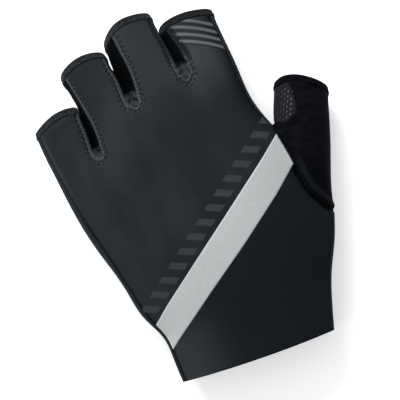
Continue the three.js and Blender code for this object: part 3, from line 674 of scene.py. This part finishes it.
class Value:
    """A socket that takes part in sums, so that shader maths reads as plain expressions."""

    def __init__(self, look, socket):
        self.look, self.socket = look, socket

    __add__, __sub__ = operation("ADD"), operation("SUBTRACT")
    __mul__, __truediv__, __pow__ = operation("MULTIPLY"), operation("DIVIDE"), operation("POWER")
    __lt__, __gt__ = operation("LESS_THAN"), operation("GREATER_THAN")
    sine, size = operation("SINE"), operation("ABSOLUTE")
    fraction, least = operation("FRACT"), operation("MINIMUM")

    def turns(self, pitch):
        return self * (2 * math.pi / pitch)

    def wave(self):
        """A smooth wave between 0 and 1."""
        return self.sine() * 0.5 + 0.5

    def step(self, low, high):
        """0 below low, 1 above high and a soft slope between. With high below low, the other way round."""
        return self.look.node("ShaderNodeMapRange", {"interpolation_type": "SMOOTHSTEP"},
                              {"Value": self, "From Min": low, "From Max": high})


class Look:
    """A procedural finish with its shader."""

    def __init__(self, name, roughness, sheen=0.0, specular=0.5):
        self.material = bpy.data.materials.new(name)
        self.material.use_nodes = True
        self.tree = self.material.node_tree
        self.shader = self.tree.nodes["Principled BSDF"]
        self.shader.inputs["Roughness"].default_value = roughness
        self.shader.inputs["Sheen Weight"].default_value = sheen
        self.shader.inputs["Sheen Roughness"].default_value = 0.5
        self.shader.inputs["Specular IOR Level"].default_value = specular

    def node(self, kind, settings, inputs, output=0):
        node = self.tree.nodes.new(kind)
        for name, value in settings.items():
            setattr(node, name, value)
        named = inputs.items() if isinstance(inputs, dict) else enumerate(inputs)
        for name, value in named:
            if isinstance(value, Value):
                self.tree.links.new(value.socket, node.inputs[name])
            else:
                node.inputs[name].default_value = value
        return Value(self, node.outputs[output])

    def parted(self, place):
        """The first two parts of a place, in millimetres."""
        parts = self.node("ShaderNodeSeparateXYZ", {}, [place]).socket.node.outputs
        return Value(self, parts[0]) * (1 / MM), Value(self, parts[1]) * (1 / MM)

    def cloth(self):
        """Where a point lies on its piece of cloth: across and along."""
        return self.parted(self.node("ShaderNodeUVMap", {"uv_map": "cloth"}, []))

    def edge(self):
        """How far a point is from the seams round the finger slits, and from the other long seams."""
        return self.parted(self.node("ShaderNodeUVMap", {"uv_map": "edge"}, []))

    def spot(self):
        """Where a point lies in the hand frame seen from above."""
        x, y = self.parted(self.node("ShaderNodeTexCoord", {}, [], "Object"))
        return x - float(HAND_TO_PART[0]), y - float(HAND_TO_PART[1])

    def cloud(self, size, detail=3.0, stretch=(1, 1, 1)):
        """Soft noise between 0 and 1 with patches about size millimetres wide."""
        place = self.node("ShaderNodeTexCoord", {}, [], "Object")
        scaled = self.node("ShaderNodeMapping", {}, {"Vector": place, "Scale": stretch})
        return self.node("ShaderNodeTexNoise", {},
                         {"Vector": scaled, "Scale": 1 / MM / size, "Detail": detail})

    def knit(self, pitch, row):
        """Rows of small loops: 0 between them, 1 on their crowns."""
        across, along = self.cloth()
        bend = across.turns(2 * pitch).sine().size() * 1.6
        return across.turns(pitch).wave() * 0.5 + (along.turns(row) + bend).wave() * 0.5

    def blend(self, share, one, two):
        return self.node("ShaderNodeMix", {"data_type": "RGBA"},
                         {0: share, 6: colour_of(one), 7: colour_of(two)}, 2)

    def marked(self, base_colour, marks):
        """Colours laid over a base colour one after another, each with its share of every place."""
        for share, colour in marks:
            base_colour = self.blend(share, base_colour, colour)
        return base_colour

    def paint(self, colour):
        self.tree.links.new(colour.socket, self.shader.inputs["Base Color"])
        return self

    def relief(self, height, depth, strength):
        """Fine relief, depth millimetres deep."""
        bump = self.node("ShaderNodeBump", {},
                         {"Height": height, "Distance": depth * MM, "Strength": strength})
        self.tree.links.new(bump.socket, self.shader.inputs["Normal"])
        return self


def colour_of(value):
    """An sRGB colour in 0 to 255, as the shader takes it."""
    if isinstance(value, Value):
        return value
    shares = [c / 255 for c in value]
    return (*[s / 12.92 if s <= 0.04045 else ((s + 0.055) / 1.055) ** 2.4 for s in shares], 1.0)


DASH_START = (32.2, 91.6)
DASH_PITCH = 7.5
DASH_COUNT = 14
DASH_HALF_WIDTH = (1.85, 1.5)  # from clear cloth to full print
DASH_HALF_LENGTH = (3.9, 3.5)
STRIPE_SLOPE = math.radians(39)
DASH_SLOPE = math.radians(-22)

BAR_START = (10.6, 142.4)
BAR_BEND = (0.27, 0.0104)  # how the bars fall and curve away from their start
BAR_PITCH = 3.3
BAR_COUNT = 4
BAR_HALF_WIDTH = (1.0, 0.4)
BAR_FADE = (7.0, 15.0)  # where the bars come up out of the cloth
BAR_FIELD = (8.0, 31.0, 130.0)  # left, right and lower border of the print
CUFF_BORDER = (0.78, 49.0)  # slope and height of the line where the darker cloth begins


def dashes_on(look):
    """The row of slanted tonal dashes above the stripe, 1 on a dash."""
    x, y = look.spot()
    x, y = x - DASH_START[0], y - DASH_START[1]
    cross = math.cos(STRIPE_SLOPE) * math.sin(DASH_SLOPE) - math.sin(STRIPE_SLOPE) * math.cos(DASH_SLOPE)
    along = (x * math.sin(DASH_SLOPE) - y * math.cos(DASH_SLOPE)) / cross
    out = (y * math.cos(STRIPE_SLOPE) - x * math.sin(STRIPE_SLOPE)) / cross
    steps = along / DASH_PITCH + 0.5
    inside = ((steps.fraction() - 0.5).size() * DASH_PITCH).step(*DASH_HALF_WIDTH)
    count = (steps < 2.0) * (steps > 1.0 - DASH_COUNT)
    return inside * out.size().step(*DASH_HALF_LENGTH) * count


def index_bars_on(look):
    """The four printed bars across the index finger: 1 on a bar, and 1 on the field round them."""
    x, y = look.spot()
    aside = x - BAR_START[0]
    steps = (y - BAR_START[1] + aside * BAR_BEND[0] + aside * aside * BAR_BEND[1]) / BAR_PITCH + 0.5
    inside = ((steps.fraction() - 0.5).size() * BAR_PITCH).step(*BAR_HALF_WIDTH) * x.step(*BAR_FADE)
    left, right, bottom = BAR_FIELD
    field = (steps > 0.0) * (steps < BAR_COUNT) * (x > left) * (x < right) * (y > bottom)
    return inside * field, field


def below_stripe_on(look):
    """1 on the darker cloth between the stripe and the wrist."""
    x, y = look.spot()
    return (y - x * CUFF_BORDER[0] - CUFF_BORDER[1]).step(2.0, -2.0)


def back_look():
    look = Look("back knit", 0.85, sheen=0.01, specular=0.03)
    x, y = look.spot()
    slit, rim = look.edge()
    # soft patches, longer along the hand: uneven tone of the cloth, and painted light and shade of soft folds
    tone_and_fold_shade = look.blend(look.cloud(24, 2.0, (1.3, 0.6, 1)).step(0.32, 0.68), (30, 34, 37), (38, 42, 45))
    # the cuff: darker cloth, with painted light on its pinky side near the wrist
    cuff_painted_light = look.blend(x.step(-2.0, -30.0) * y.step(36.0, 14.0), (23, 27, 31), (45, 48, 50))
    # painted shade in the groove of the side seams, wider on the pinky side
    groove_shade = rim.step(0.9, 0.45) * 0.8 + rim.step(2.3, 1.1) * x.step(-20.0, -24.0) * y.step(100.0, 70.0)
    # painted highlight on the roll beside the groove on the pinky side
    pinky_roll_highlight = rim.step(2.6, 1.9) * rim.step(0.8, 1.3) * x.step(0.0, -8.0) * y.step(85.0, 100.0)
    bars, field = index_bars_on(look)
    base_colour = look.marked(tone_and_fold_shade, [
        # painted light on the ring and middle fingers and, more strongly, on the index finger; the darker
        # cloth below the stripe, painted lighter on its pinky side near the wrist
        (y.step(112.0, 148.0) * x.step(-46.0, -4.0), (43, 47, 50)),
        (y.step(106.0, 136.0) * x.step(4.0, 16.0), (51, 55, 58)),
        (below_stripe_on(look), cuff_painted_light),
        # painted shade on the side of the index finger, painted highlights on the rolls beside the slits, and
        # the line beside its seam
        (rim.step(10.0, 1.0) * x.step(18.0, 26.0) * y.step(84.0, 96.0) * 0.75, (12, 15, 18)),
        (slit.step(2.0, 1.2) * slit.step(0.1, 0.5) * 0.6, (52, 56, 59)),
        (rim.step(2.3, 1.5) * rim.step(0.5, 0.9) * x.step(16.0, 20.0) * y.step(92.0, 98.0) * 0.75, (3, 4, 6)),
        # painted shade in the slit of the index finger, and painted shade in the valley beside the thumb's
        # seam
        (slit.step(2.4, 1.6) * x.step(-2.0, 1.0) * y.step(131.0, 137.0) * 0.6, (14, 17, 20)),
        (rim.step(2.6, 1.2) * x.step(37.0, 40.0) * y.step(84.0, 76.0) * y.step(49.0, 52.0), (1, 2, 3)),
        # painted shade in the groove of the side seams, a painted highlight on the roll beside it on the
        # pinky side, and the print
        (groove_shade.least(0.95), (2, 3, 4)),
        (pinky_roll_highlight * 0.5, (52, 56, 59)),
        (dashes_on(look), (52, 56, 59)),
        (field * 0.6, (26, 30, 34)),
        (bars, (88, 91, 94)),
    ])
    return look.paint(base_colour).relief(look.knit(0.62, 0.5) * 0.6 + look.cloud(0.5) * 0.4, 0.05, 0.35)


def palm_look():
    look = Look("palm suede", 0.92, sheen=0.01, specular=0.03)
    nap = look.cloud(1.1, 4.0)
    _, seam = look.edge()
    ribs = look.spot()[1].turns(1.1).wave()
    by_seam = seam.step(3.4, 2.6)
    suede = look.blend(nap.step(0.3, 0.7), (22, 24, 27), (31, 33, 36))
    look.paint(look.blend(by_seam, suede, look.blend(ribs, (22, 25, 27), (48, 51, 54))))
    return look.relief(nap * 0.5 + ribs * by_seam, 0.2, 0.6)


GATHERS = [(-36.9, 106.4), (-15.4, 124.6), (9.6, 129.6)]  # where each strip is gathered at its crotch, painted lighter round it as light falling on the gathers
STRIP_RIB = 1.15


def strip_look():
    look = Look("ribbed strip", 0.95, specular=0.04)
    across, along = look.cloth()
    cells = (across.turns(1.3) + along.turns(2 * STRIP_RIB).sine() * 1.5).wave()
    weave = along.turns(STRIP_RIB).wave() * 0.7 + cells * 0.3
    x, y = look.spot()
    # painted light near the top of each wall and round the gathers
    painted_light = look.edge()[0].step(2.3, 1.3)
    for gather_x, gather_y in GATHERS:
        painted_light = painted_light + (((x - gather_x) ** 2.0 + (y - gather_y) ** 2.0) ** 0.5).step(4.2, 2.6) * 0.65
    # painted shade: the walls deeper in the slit, near black
    painted_deep_shade = look.blend(weave, (1, 1, 2), (4, 5, 6))
    return look.paint(look.marked(painted_deep_shade, [
        (painted_light.least(1.0), look.blend(weave, (40, 43, 46), (70, 74, 78))),
        (x.step(-4.0, 0.0) * y.step(132.0, 138.0) * 0.65, (8, 10, 13)),  # painted shade in the slit of the index finger
    ])).relief(weave, 0.2, 0.7)


def suede_look():
    look = Look("thumb suede", 0.95, sheen=0.01, specular=0.06)
    streaks = look.cloud(2.4, 3.0, (0.35, 1, 1))
    _, seam = look.edge()
    _, y = look.spot()
    nap = look.blend(streaks.step(0.35, 0.75), (4, 5, 9), (12, 14, 19))
    return look.paint(look.marked(nap, [
        # painted shade, darker towards the foot of the thumb
        (y.step(88.0, 64.0) * 0.6, (1, 2, 5)),
        (seam.step(1.2, 2.0) * seam.step(4.4, 3.2) * y.step(80.0, 72.0) * 0.8, (22, 25, 29)),  # painted highlight on the fold
    ])).relief(streaks, 0.15, 0.4)


def mixed_look(name, roughness, sheen, specular, pattern, one, two, index_darker=None):
    """A look that goes from one colour to another, darker on the index finger if a colour for it is given."""
    look = Look(name, roughness, sheen, specular)
    base_colour = look.blend(pattern(look), one, two)
    if index_darker:
        base_colour = look.blend(look.spot()[0].step(4.5, 5.0) * 0.6, base_colour, index_darker)
    return look.paint(base_colour)


def make_looks():
    inset = mixed_look("inset knit", 0.88, 0.02, 0.12, lambda look: look.knit(0.8, 0.6),
                       (18, 20, 22), (28, 30, 33))
    hem = mixed_look("folded band", 0.88, 0.04, 0.14, lambda look: look.cloud(1.0, 2.0).step(0.4, 0.65),
                     (15, 17, 20), (36, 40, 43), (6, 8, 11))
    film = mixed_look("reflective film", 0.42, 0.0, 0.5, lambda look: look.cloud(0.7, 4.0).step(0.3, 0.7),
                      (170, 173, 174), (180, 182, 183))
    return {
        "back": back_look(),
        "palm": palm_look(),
        "strip": strip_look(),
        "suede": suede_look(),
        "inset": inset.relief(inset.knit(0.8, 0.6), 0.1, 0.6),
        # pale grey: painted light, standing in for light shining through the holes of the inset
        "lining": mixed_look("inset lining, painted light", 0.8, 0.0, 0.3, lambda look: look.cloud(0.6),
                             (120, 121, 123), (150, 151, 153)),
        "hem": hem.relief(hem.knit(0.7, 0.55), 0.12, 0.6),
        "thread": mixed_look("thread", 0.7, 0.02, 0.15, lambda look: look.cloud(0.4),
                             (3, 4, 5), (10, 11, 13)),
        "grey": mixed_look("grey thread", 0.7, 0.03, 0.2, lambda look: look.cloud(0.9).step(0.35, 0.65),
                           (20, 22, 25), (50, 54, 57), (8, 10, 13)),
        "film": film.relief(film.cloud(0.7, 4.0), 0.02, 0.4),
    }


looks = make_looks()


def place_piece(made, look, slot, *nodes):
    made.data.materials.append(looks[look].material)
    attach(made, "root")
    if nodes:
        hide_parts(*nodes)


SINK_WIDTH, ROLL_WIDTH = 0.45, 0.55  # shares of a roll's reach
HEM_SWELL, HEM_SWELL_REACH = 0.12, 1.4  # of the cloth beside a hem
BAND_RISE = 0.28
BAND_ROUNDING = (0.5, 0.6)  # how far a band's edge drops, and over what width


def seam_roll(sink, bulge, reach):
    """Cloth that sinks into its seam, rolls up beside it, and rises a little to meet a hem."""
    def rise(panel):
        edge = -sink * np.exp(-(panel.to_seams / (SINK_WIDTH * reach)) ** 2)
        roll = bulge * np.exp(-((panel.to_seams - reach) / (ROLL_WIDTH * reach)) ** 2)
        return edge + roll + HEM_SWELL * np.exp(-(panel.to_hems / HEM_SWELL_REACH) ** 2)
    return rise


def lining_at(wall):
    return lambda panel: np.full(len(panel.used), -wall)


def hem_rise(panel):
    """A turned-in band with rounded edges."""
    drop, width = BAND_ROUNDING
    return BAND_RISE - drop * np.clip(1 - panel.depth / width, 0, 1) ** 2


panels = {name: Panel(name) for name in
          ["back_panel", "palm_panel", *STRIPS, "thumb_sleeve", "thumb_mesh",
           *[f"hem_{finger[0]}" for finger in FINGERS], "hem_thumb"]}

# piece, look, slot, how its cloth rises and its wall
SEWN = [
    ("back_panel", "back", "back_fabric", seam_roll(0.5, 0.18, 1.2), FABRIC_WALL),
    ("palm_panel", "palm", "palm_suede", seam_roll(0.45, 0.15, 1.3), FABRIC_WALL),
    *[(name, "strip", "strip_fabric", seam_roll(0.5, 0.15, 1.0), FABRIC_WALL) for name in STRIPS],
    ("thumb_sleeve", "suede", "thumb_suede", seam_roll(0.6, 0.2, 1.3), THUMB_WALL),
]
for name, look, slot, rise, wall in SEWN:
    shell = sew_panel(panels[name], rise, lining_at(wall))
    place_piece(new_object(f"{name}_cloth", *shell), look, slot, name)

# the look of each hem, its slot and the look of its threads
HEM_LOOKS = {finger[0]: ("hem", "hem_fabric", "grey") for finger in FINGERS}
HEM_LOOKS["thumb"] = ("suede", "thumb_suede", "suede")
for name, (look, slot, _) in HEM_LOOKS.items():
    band = sew_panel(panels[f"hem_{name}"], hem_rise, lining_at(HEM_WALL - HEM_RISE))
    place_piece(new_object(f"hem_{name}_band", *band), look, slot, f"hem_{name}")

HOLE_PITCH = 2.25
HOLE_RADIUS = 0.52
HOLE_SIDES = 14
HOLE_MARGIN = 1.3  # from the middle of a hole to the border of the inset
HOLE_ENDS = (-0.9, 1.5)  # of the cutter, below and above the cloth
HOLE_ROWS, HOLES_IN_ROW = 9, 14  # tried to each side of the middle


def perforate(made, panel):
    """Cuts the round holes of the thumb inset, in offset rows."""
    surface = panel.surface
    scale = np.array([PALM_WIDTH, GLOVE_LENGTH])
    start, end = ((np.array(section[0]) + np.array(section[5])) / 2 * scale
                  for section in THUMB_SECTIONS[1::2])
    axis = np.append(unit(end - start), 0)
    side = np.array([-axis[1], axis[0], 0])
    centre = np.append(start, THUMB_SECTIONS[1][6] * BACK_HEIGHT)
    row_turn = HOLE_PITCH * math.sqrt(3) / 2 / (THUMB_SECTIONS[2][7] * BACK_HEIGHT)
    cloth = BVHTree.FromPolygons(surface.places.tolist(), panel.quads.tolist())
    rim = tree_of(surface.places[panel.border[:, 0]])
    n = HOLE_SIDES
    cutters, faces = [], []
    for row in range(-HOLE_ROWS, HOLE_ROWS + 1):
        out = side * math.cos(row * row_turn) + np.array([0, 0, math.sin(row * row_turn)])
        for step in range(-HOLES_IN_ROW, HOLES_IN_ROW + 1):
            along = (step + (row % 2) / 2) * HOLE_PITCH
            hit, normal, _, _ = cloth.ray_cast(Vector(centre + axis * along), Vector(out))
            if hit is None or rim.find(hit)[2] < HOLE_MARGIN:
                continue
            turn = normal.to_track_quat("Z", "Y")
            first = len(cutters)
            for z in HOLE_ENDS:
                for k in range(n):
                    a = 2 * math.pi * k / n
                    spoke = Vector((HOLE_RADIUS * math.cos(a), HOLE_RADIUS * math.sin(a), z))
                    cutters.append(list(hit + turn @ spoke))
            faces.append([first + k for k in range(n)][::-1])
            faces.append([first + n + k for k in range(n)])
            faces += [[first + k, first + (k + 1) % n, first + n + (k + 1) % n, first + n + k]
                      for k in range(n)]
    cutter = new_object("inset_punch", cutters, faces, smooth=False)
    cut = made.modifiers.new("punch", "BOOLEAN")
    cut.object, cut.operation, cut.solver = cutter, "DIFFERENCE", "EXACT"
    shape = bpy.data.meshes.new_from_object(made.evaluated_get(bpy.context.evaluated_depsgraph_get()))
    made.modifiers.clear()
    made.data = shape
    bpy.data.objects.remove(cutter)


INSET_WALL, LINING_TOP = 0.55, 0.62
inset = new_object("thumb_mesh_cloth",
                   *sew_panel(panels["thumb_mesh"], seam_roll(0.4, 0.1, 1.0), lining_at(INSET_WALL)))
perforate(inset, panels["thumb_mesh"])
place_piece(inset, "inset", "thumb_mesh", "thumb_mesh")
# a pale sheet behind the holes of the inset: painted light, standing in for light shining through them
lining = sew_panel(panels["thumb_mesh"], lining_at(LINING_TOP), lining_at(FABRIC_WALL))
place_piece(new_object("thumb_mesh_lining_painted_light", *lining), "lining", "thumb_mesh")

FILM_COUNTS = (40, 260)  # cells across and along the stripe
FILM_CELL = (0.4, 0.35)  # about the size of a cell
FILM_RISE, FILM_SINK = 0.22, 0.05  # above the cloth and below it
FILM_ROUNDING = (0.14, 0.5)  # how far its edge drops, and over what width
FILM_SEARCH = 0.1  # a step inward from the side seam to the first place on the cloth
FILM_ABOVE = 80.0  # where the stripe is laid down from
FILM_ROUNDS = 3  # of evening out the way that the stripe faces
SIDE_SEAM_TOP = 118  # the side seams lie below this, and the seams of the fingers above


def back_tree():
    made = bpy.data.objects["back_panel_cloth"].data
    vertices = np.zeros(len(made.vertices) * 3)
    made.vertices.foreach_get("co", vertices)
    vertices = vertices.reshape(-1, 3) / MM - HAND_TO_PART
    return BVHTree.FromPolygons(vertices.tolist(), [list(p.vertices) for p in made.polygons])


def stripe_film():
    """The light band, laid down on the back from one side seam to the other."""
    panel = panels["back_panel"]
    spots = np.array([panel.surface.places[i][:2] for other in ("palm_panel", "thumb_sleeve")
                      for line in panel.seam_with(other) for i in line])
    spots = spots[spots[:, 1] < SIDE_SEAM_TOP]
    tree = back_tree()
    xs, upper, lower = (np.array(column) for column in zip(*STRIPE))
    across, along = FILM_COUNTS
    rows, columns = across + 1, along + 1
    flat, up = np.zeros((rows, columns, 3)), np.zeros((rows, columns, 3))

    def laid(x, line):
        return tree.ray_cast(Vector((x, float(np.interp(x, xs, line)), FILM_ABOVE)), Vector((0, 0, -1)))

    for i in range(rows):
        line = mix(lower, upper, i / across)
        ends = []
        for seam, inward in ((spots[spots[:, 0] < 0], FILM_SEARCH), (spots[spots[:, 0] >= 0], -FILM_SEARCH)):
            gap = np.interp(seam[:, 0], xs, line) - seam[:, 1]
            x = float(seam[np.argmin(np.abs(gap)), 0]) + 3 * inward
            while laid(x, line)[0] is None:
                x += inward
            ends.append(x + inward)
        for j, x in enumerate(np.linspace(*ends, columns)):
            flat[i, j], up[i, j] = laid(x, line)[:2]
    for _ in range(FILM_ROUNDS):
        up[1:-1, 1:-1] = (up[:-2, 1:-1] + up[2:, 1:-1] + up[1:-1, :-2] + up[1:-1, 2:]) / 4
    flat, up = flat.reshape(-1, 3), unit(up).reshape(-1, 3)
    i, j = np.divmod(np.arange(rows * columns), columns)
    to_edge = np.minimum(np.minimum(i, across - i) * FILM_CELL[0], np.minimum(j, along - j) * FILM_CELL[1])
    drop, width = FILM_ROUNDING
    top = flat + up * (FILM_RISE - drop * np.clip(1 - to_edge / width, 0, 1) ** 2)[:, None]
    a = (np.arange(across)[:, None] * columns + np.arange(along)[None]).ravel()
    faces = shell_faces(np.stack([a, a + 1, a + columns + 1, a + columns], axis=1), rows * columns)
    cloth = np.stack([j * FILM_CELL[1], i * FILM_CELL[0]], axis=1)
    return new_object("reflective_stripe_film", np.concatenate([top, flat - up * FILM_SINK]), faces,
                      cloth[faces % (rows * columns)])


place_piece(stripe_film(), "film", "reflective_film", "reflective_stripe")

STITCH_SIDES, STITCH_STATIONS = 6, 6
STITCH_SINK = 0.35  # how far a stitch dives at its ends
STITCH_ENDS = (0.12, 0.88)  # the part of half a wave that its thickness follows
NO_STITCH_WAY = (0.13, 0.21, 0.97)  # a way that no stitch runs in


def between(at, reach, rows):
    """Rows of three numbers, read at some distance along their line."""
    return np.stack([np.interp(at, reach, rows[:, k]) for k in range(3)], axis=-1)


class Threads:
    """Stitches gathered into one mesh: each a short tube that dives into the cloth at both ends."""

    def __init__(self):
        self.places, self.faces = [], []

    def stitch(self, path, radius):
        path, sides = np.asarray(path, dtype=float), STITCH_SIDES
        count, first = len(path), len(self.places)
        ways = unit(np.gradient(path, axis=0))
        aside = unit(np.cross(ways, NO_STITCH_WAY))
        above = np.cross(aside, ways)
        taper = np.sin(np.linspace(*STITCH_ENDS, count) * math.pi) ** 0.5
        for k in range(count):
            for s in range(sides):
                a = 2 * math.pi * s / sides
                spoke = math.cos(a) * aside[k] + math.sin(a) * above[k]
                self.places.append(path[k] + radius * taper[k] * spoke)
        for k in range(count - 1):
            low, high = first + k * sides, first + (k + 1) * sides
            for s in range(sides):
                t = (s + 1) % sides
                self.faces.append([low + s, low + t, high + t, high + s])
        self.faces.append([first + s for s in range(sides)][::-1])
        self.faces.append([first + (count - 1) * sides + s for s in range(sides)])

    def run(self, line, normals, length, gap, radius, lift):
        """Stitches one after another along a line on the cloth."""
        reach = reach_of(line)
        arch = np.sin(np.linspace(0, 1, STITCH_STATIONS) * math.pi) ** 0.5
        at = gap
        while at + length < reach[-1]:
            spots = np.linspace(at, at + length, STITCH_STATIONS)
            up = between(spots, reach, normals)
            self.stitch(between(spots, reach, line) + up * (lift - STITCH_SINK * (1 - arch))[:, None], radius)
            at += length + gap

    def made(self, name):
        return new_object(name, self.places, self.faces)


def seam_points(panel, line, inset):
    """The places of a seam moved inset millimetres into a panel, with their normals."""
    spots, normals = panel.surface.places[line], panel.surface.normals[line]
    return spots + unit(np.cross(normals, np.gradient(spots, axis=0))) * inset, normals


# piece, the pieces it is sewn to, and for each row of stitches its inset, length, gap, radius and lift
SLIT_STITCHES = [(0.0, 1.8, 0.5, 0.22, -0.2), (1.5, 1.7, 0.9, 0.26, 0.12)]
SIDE_STITCHES = [(0.0, 1.9, 0.6, 0.2, -0.25)]
STITCHED = [
    ("back_panel", STRIPS, SLIT_STITCHES),
    ("back_panel", ("palm_panel", "thumb_sleeve"), SIDE_STITCHES),
    ("palm_panel", STRIPS, SLIT_STITCHES),
    ("palm_panel", ("thumb_sleeve",), SIDE_STITCHES),
    ("thumb_sleeve", ("thumb_mesh",), [(0.0, 1.6, 0.5, 0.2, -0.2)]),
]
dark = Threads()
for piece, others, rows in STITCHED:
    for line in [line for other in others for line in panels[piece].seam_with(other)]:
        for inset_by, *stitch in rows:
            dark.run(*seam_points(panels[piece], line, inset_by), *stitch)
place_piece(dark.made("seam_threads"), "thread", "thumb_suede")

OVERLOCK_PITCH = 1.05
OVERLOCK_START = 0.4
OVERLOCK_RADIUS = 0.17
OVERLOCK_SLANT = 0.28  # along the seam
OVERLOCK_REACH = (0.15, 2.05)  # its start inside the hem, and how far it goes on
OVERLOCK_LIFT, OVERLOCK_DIVE = HEM_RISE + 0.02, 0.34


def hem_threads(name):
    """Slanting overlock stitches over the rear edge of a hem."""
    panel = panels[f"hem_{name}"]
    threads = Threads()
    start, onward = OVERLOCK_REACH
    for other in sorted(set(panel.beside) - {""}):
        for line in panel.seam_with(other):
            spots, normals = panel.surface.places[line], panel.surface.normals[line]
            run = unit(np.gradient(spots, axis=0))
            reach = reach_of(spots)
            for at in np.arange(OVERLOCK_START, reach[-1], OVERLOCK_PITCH):
                base, way, into, up = (between(at, reach, rows)
                                       for rows in (spots, run, np.cross(normals, run), normals))
                path = [base + way * OVERLOCK_SLANT * (s - 0.5) + into * (start + onward * s)
                        + up * (OVERLOCK_LIFT - OVERLOCK_DIVE * (1 - math.sin(math.pi * s) ** 0.5))
                        for s in np.linspace(0, 1, STITCH_STATIONS)]
                threads.stitch(path, OVERLOCK_RADIUS)
    return threads.made(f"hem_{name}_threads")


for name, (_, slot, thread) in HEM_LOOKS.items():
    place_piece(hem_threads(name), thread, slot)

WORLD_LIGHT = 0.34
FLOOR_SIZE, FLOOR_DEPTH = 3, 0.0002  # metres
FLOOR_GLOW = 0.42  # so that the floor comes out white, as in the photo
LAMPS = [  # name, place and size in metres, power in watts
    ("key", (-0.25, 1.15, 0.75), 0.9, 25.0),
    ("side", (-1.1, 0.0, 0.45), 0.8, 3.0),
    ("top", (0.0, 0.1, 1.5), 1.5, 5.0),
]
CAMERA_SPOT = (-0.00510, -0.00635, 0.015)  # in metres, the place that the camera looks down on
CAMERA_DISTANCE, PICTURE_WIDTH = 2.0, 0.176  # metres
CAMERA_TURN = math.radians(-19)


def studio():
    scene = bpy.context.scene
    scene.view_settings.view_transform = "Standard"
    scene.world = bpy.data.worlds.new("studio")
    scene.world.use_nodes = True
    background = scene.world.node_tree.nodes["Background"]
    background.inputs[0].default_value = (1, 1, 1, 1)
    background.inputs[1].default_value = WORLD_LIGHT
    floor_mesh = bpy.data.meshes.new("floor")
    corners = [(x * FLOOR_SIZE, y * FLOOR_SIZE, 0) for x, y in ((-1, -1), (1, -1), (1, 1), (-1, 1))]
    floor_mesh.from_pydata(corners, [], [(0, 1, 2, 3)])
    floor = bpy.data.objects.new("floor", floor_mesh)
    scene.collection.objects.link(floor)
    floor.location.z = -FLOOR_DEPTH
    paper = mixed_look("floor paper", 0.9, 0.0, 0.1, lambda look: look.cloud(40),
                       (250, 250, 250), (252, 252, 252))
    paper.shader.inputs["Emission Color"].default_value = (1, 1, 1, 1)
    paper.shader.inputs["Emission Strength"].default_value = FLOOR_GLOW
    floor_mesh.materials.append(paper.material)
    for name, spot, size, power in LAMPS:
        lamp = bpy.data.lights.new(name, "AREA")
        lamp.shape, lamp.size, lamp.energy = "SQUARE", size, power
        made = bpy.data.objects.new(name, lamp)
        made.location = spot
        made.rotation_euler = (-Vector(spot)).to_track_quat("-Z", "Y").to_euler()
        scene.collection.objects.link(made)
    camera = bpy.data.cameras.new("camera")
    camera.sensor_width = 36.0
    camera.lens = camera.sensor_width * CAMERA_DISTANCE / PICTURE_WIDTH
    made = bpy.data.objects.new("camera", camera)
    made.location = Vector(CAMERA_SPOT) + Vector((0, 0, CAMERA_DISTANCE))
    made.rotation_euler = (0, 0, CAMERA_TURN)
    scene.collection.objects.link(made)
    scene.camera = made


studio()
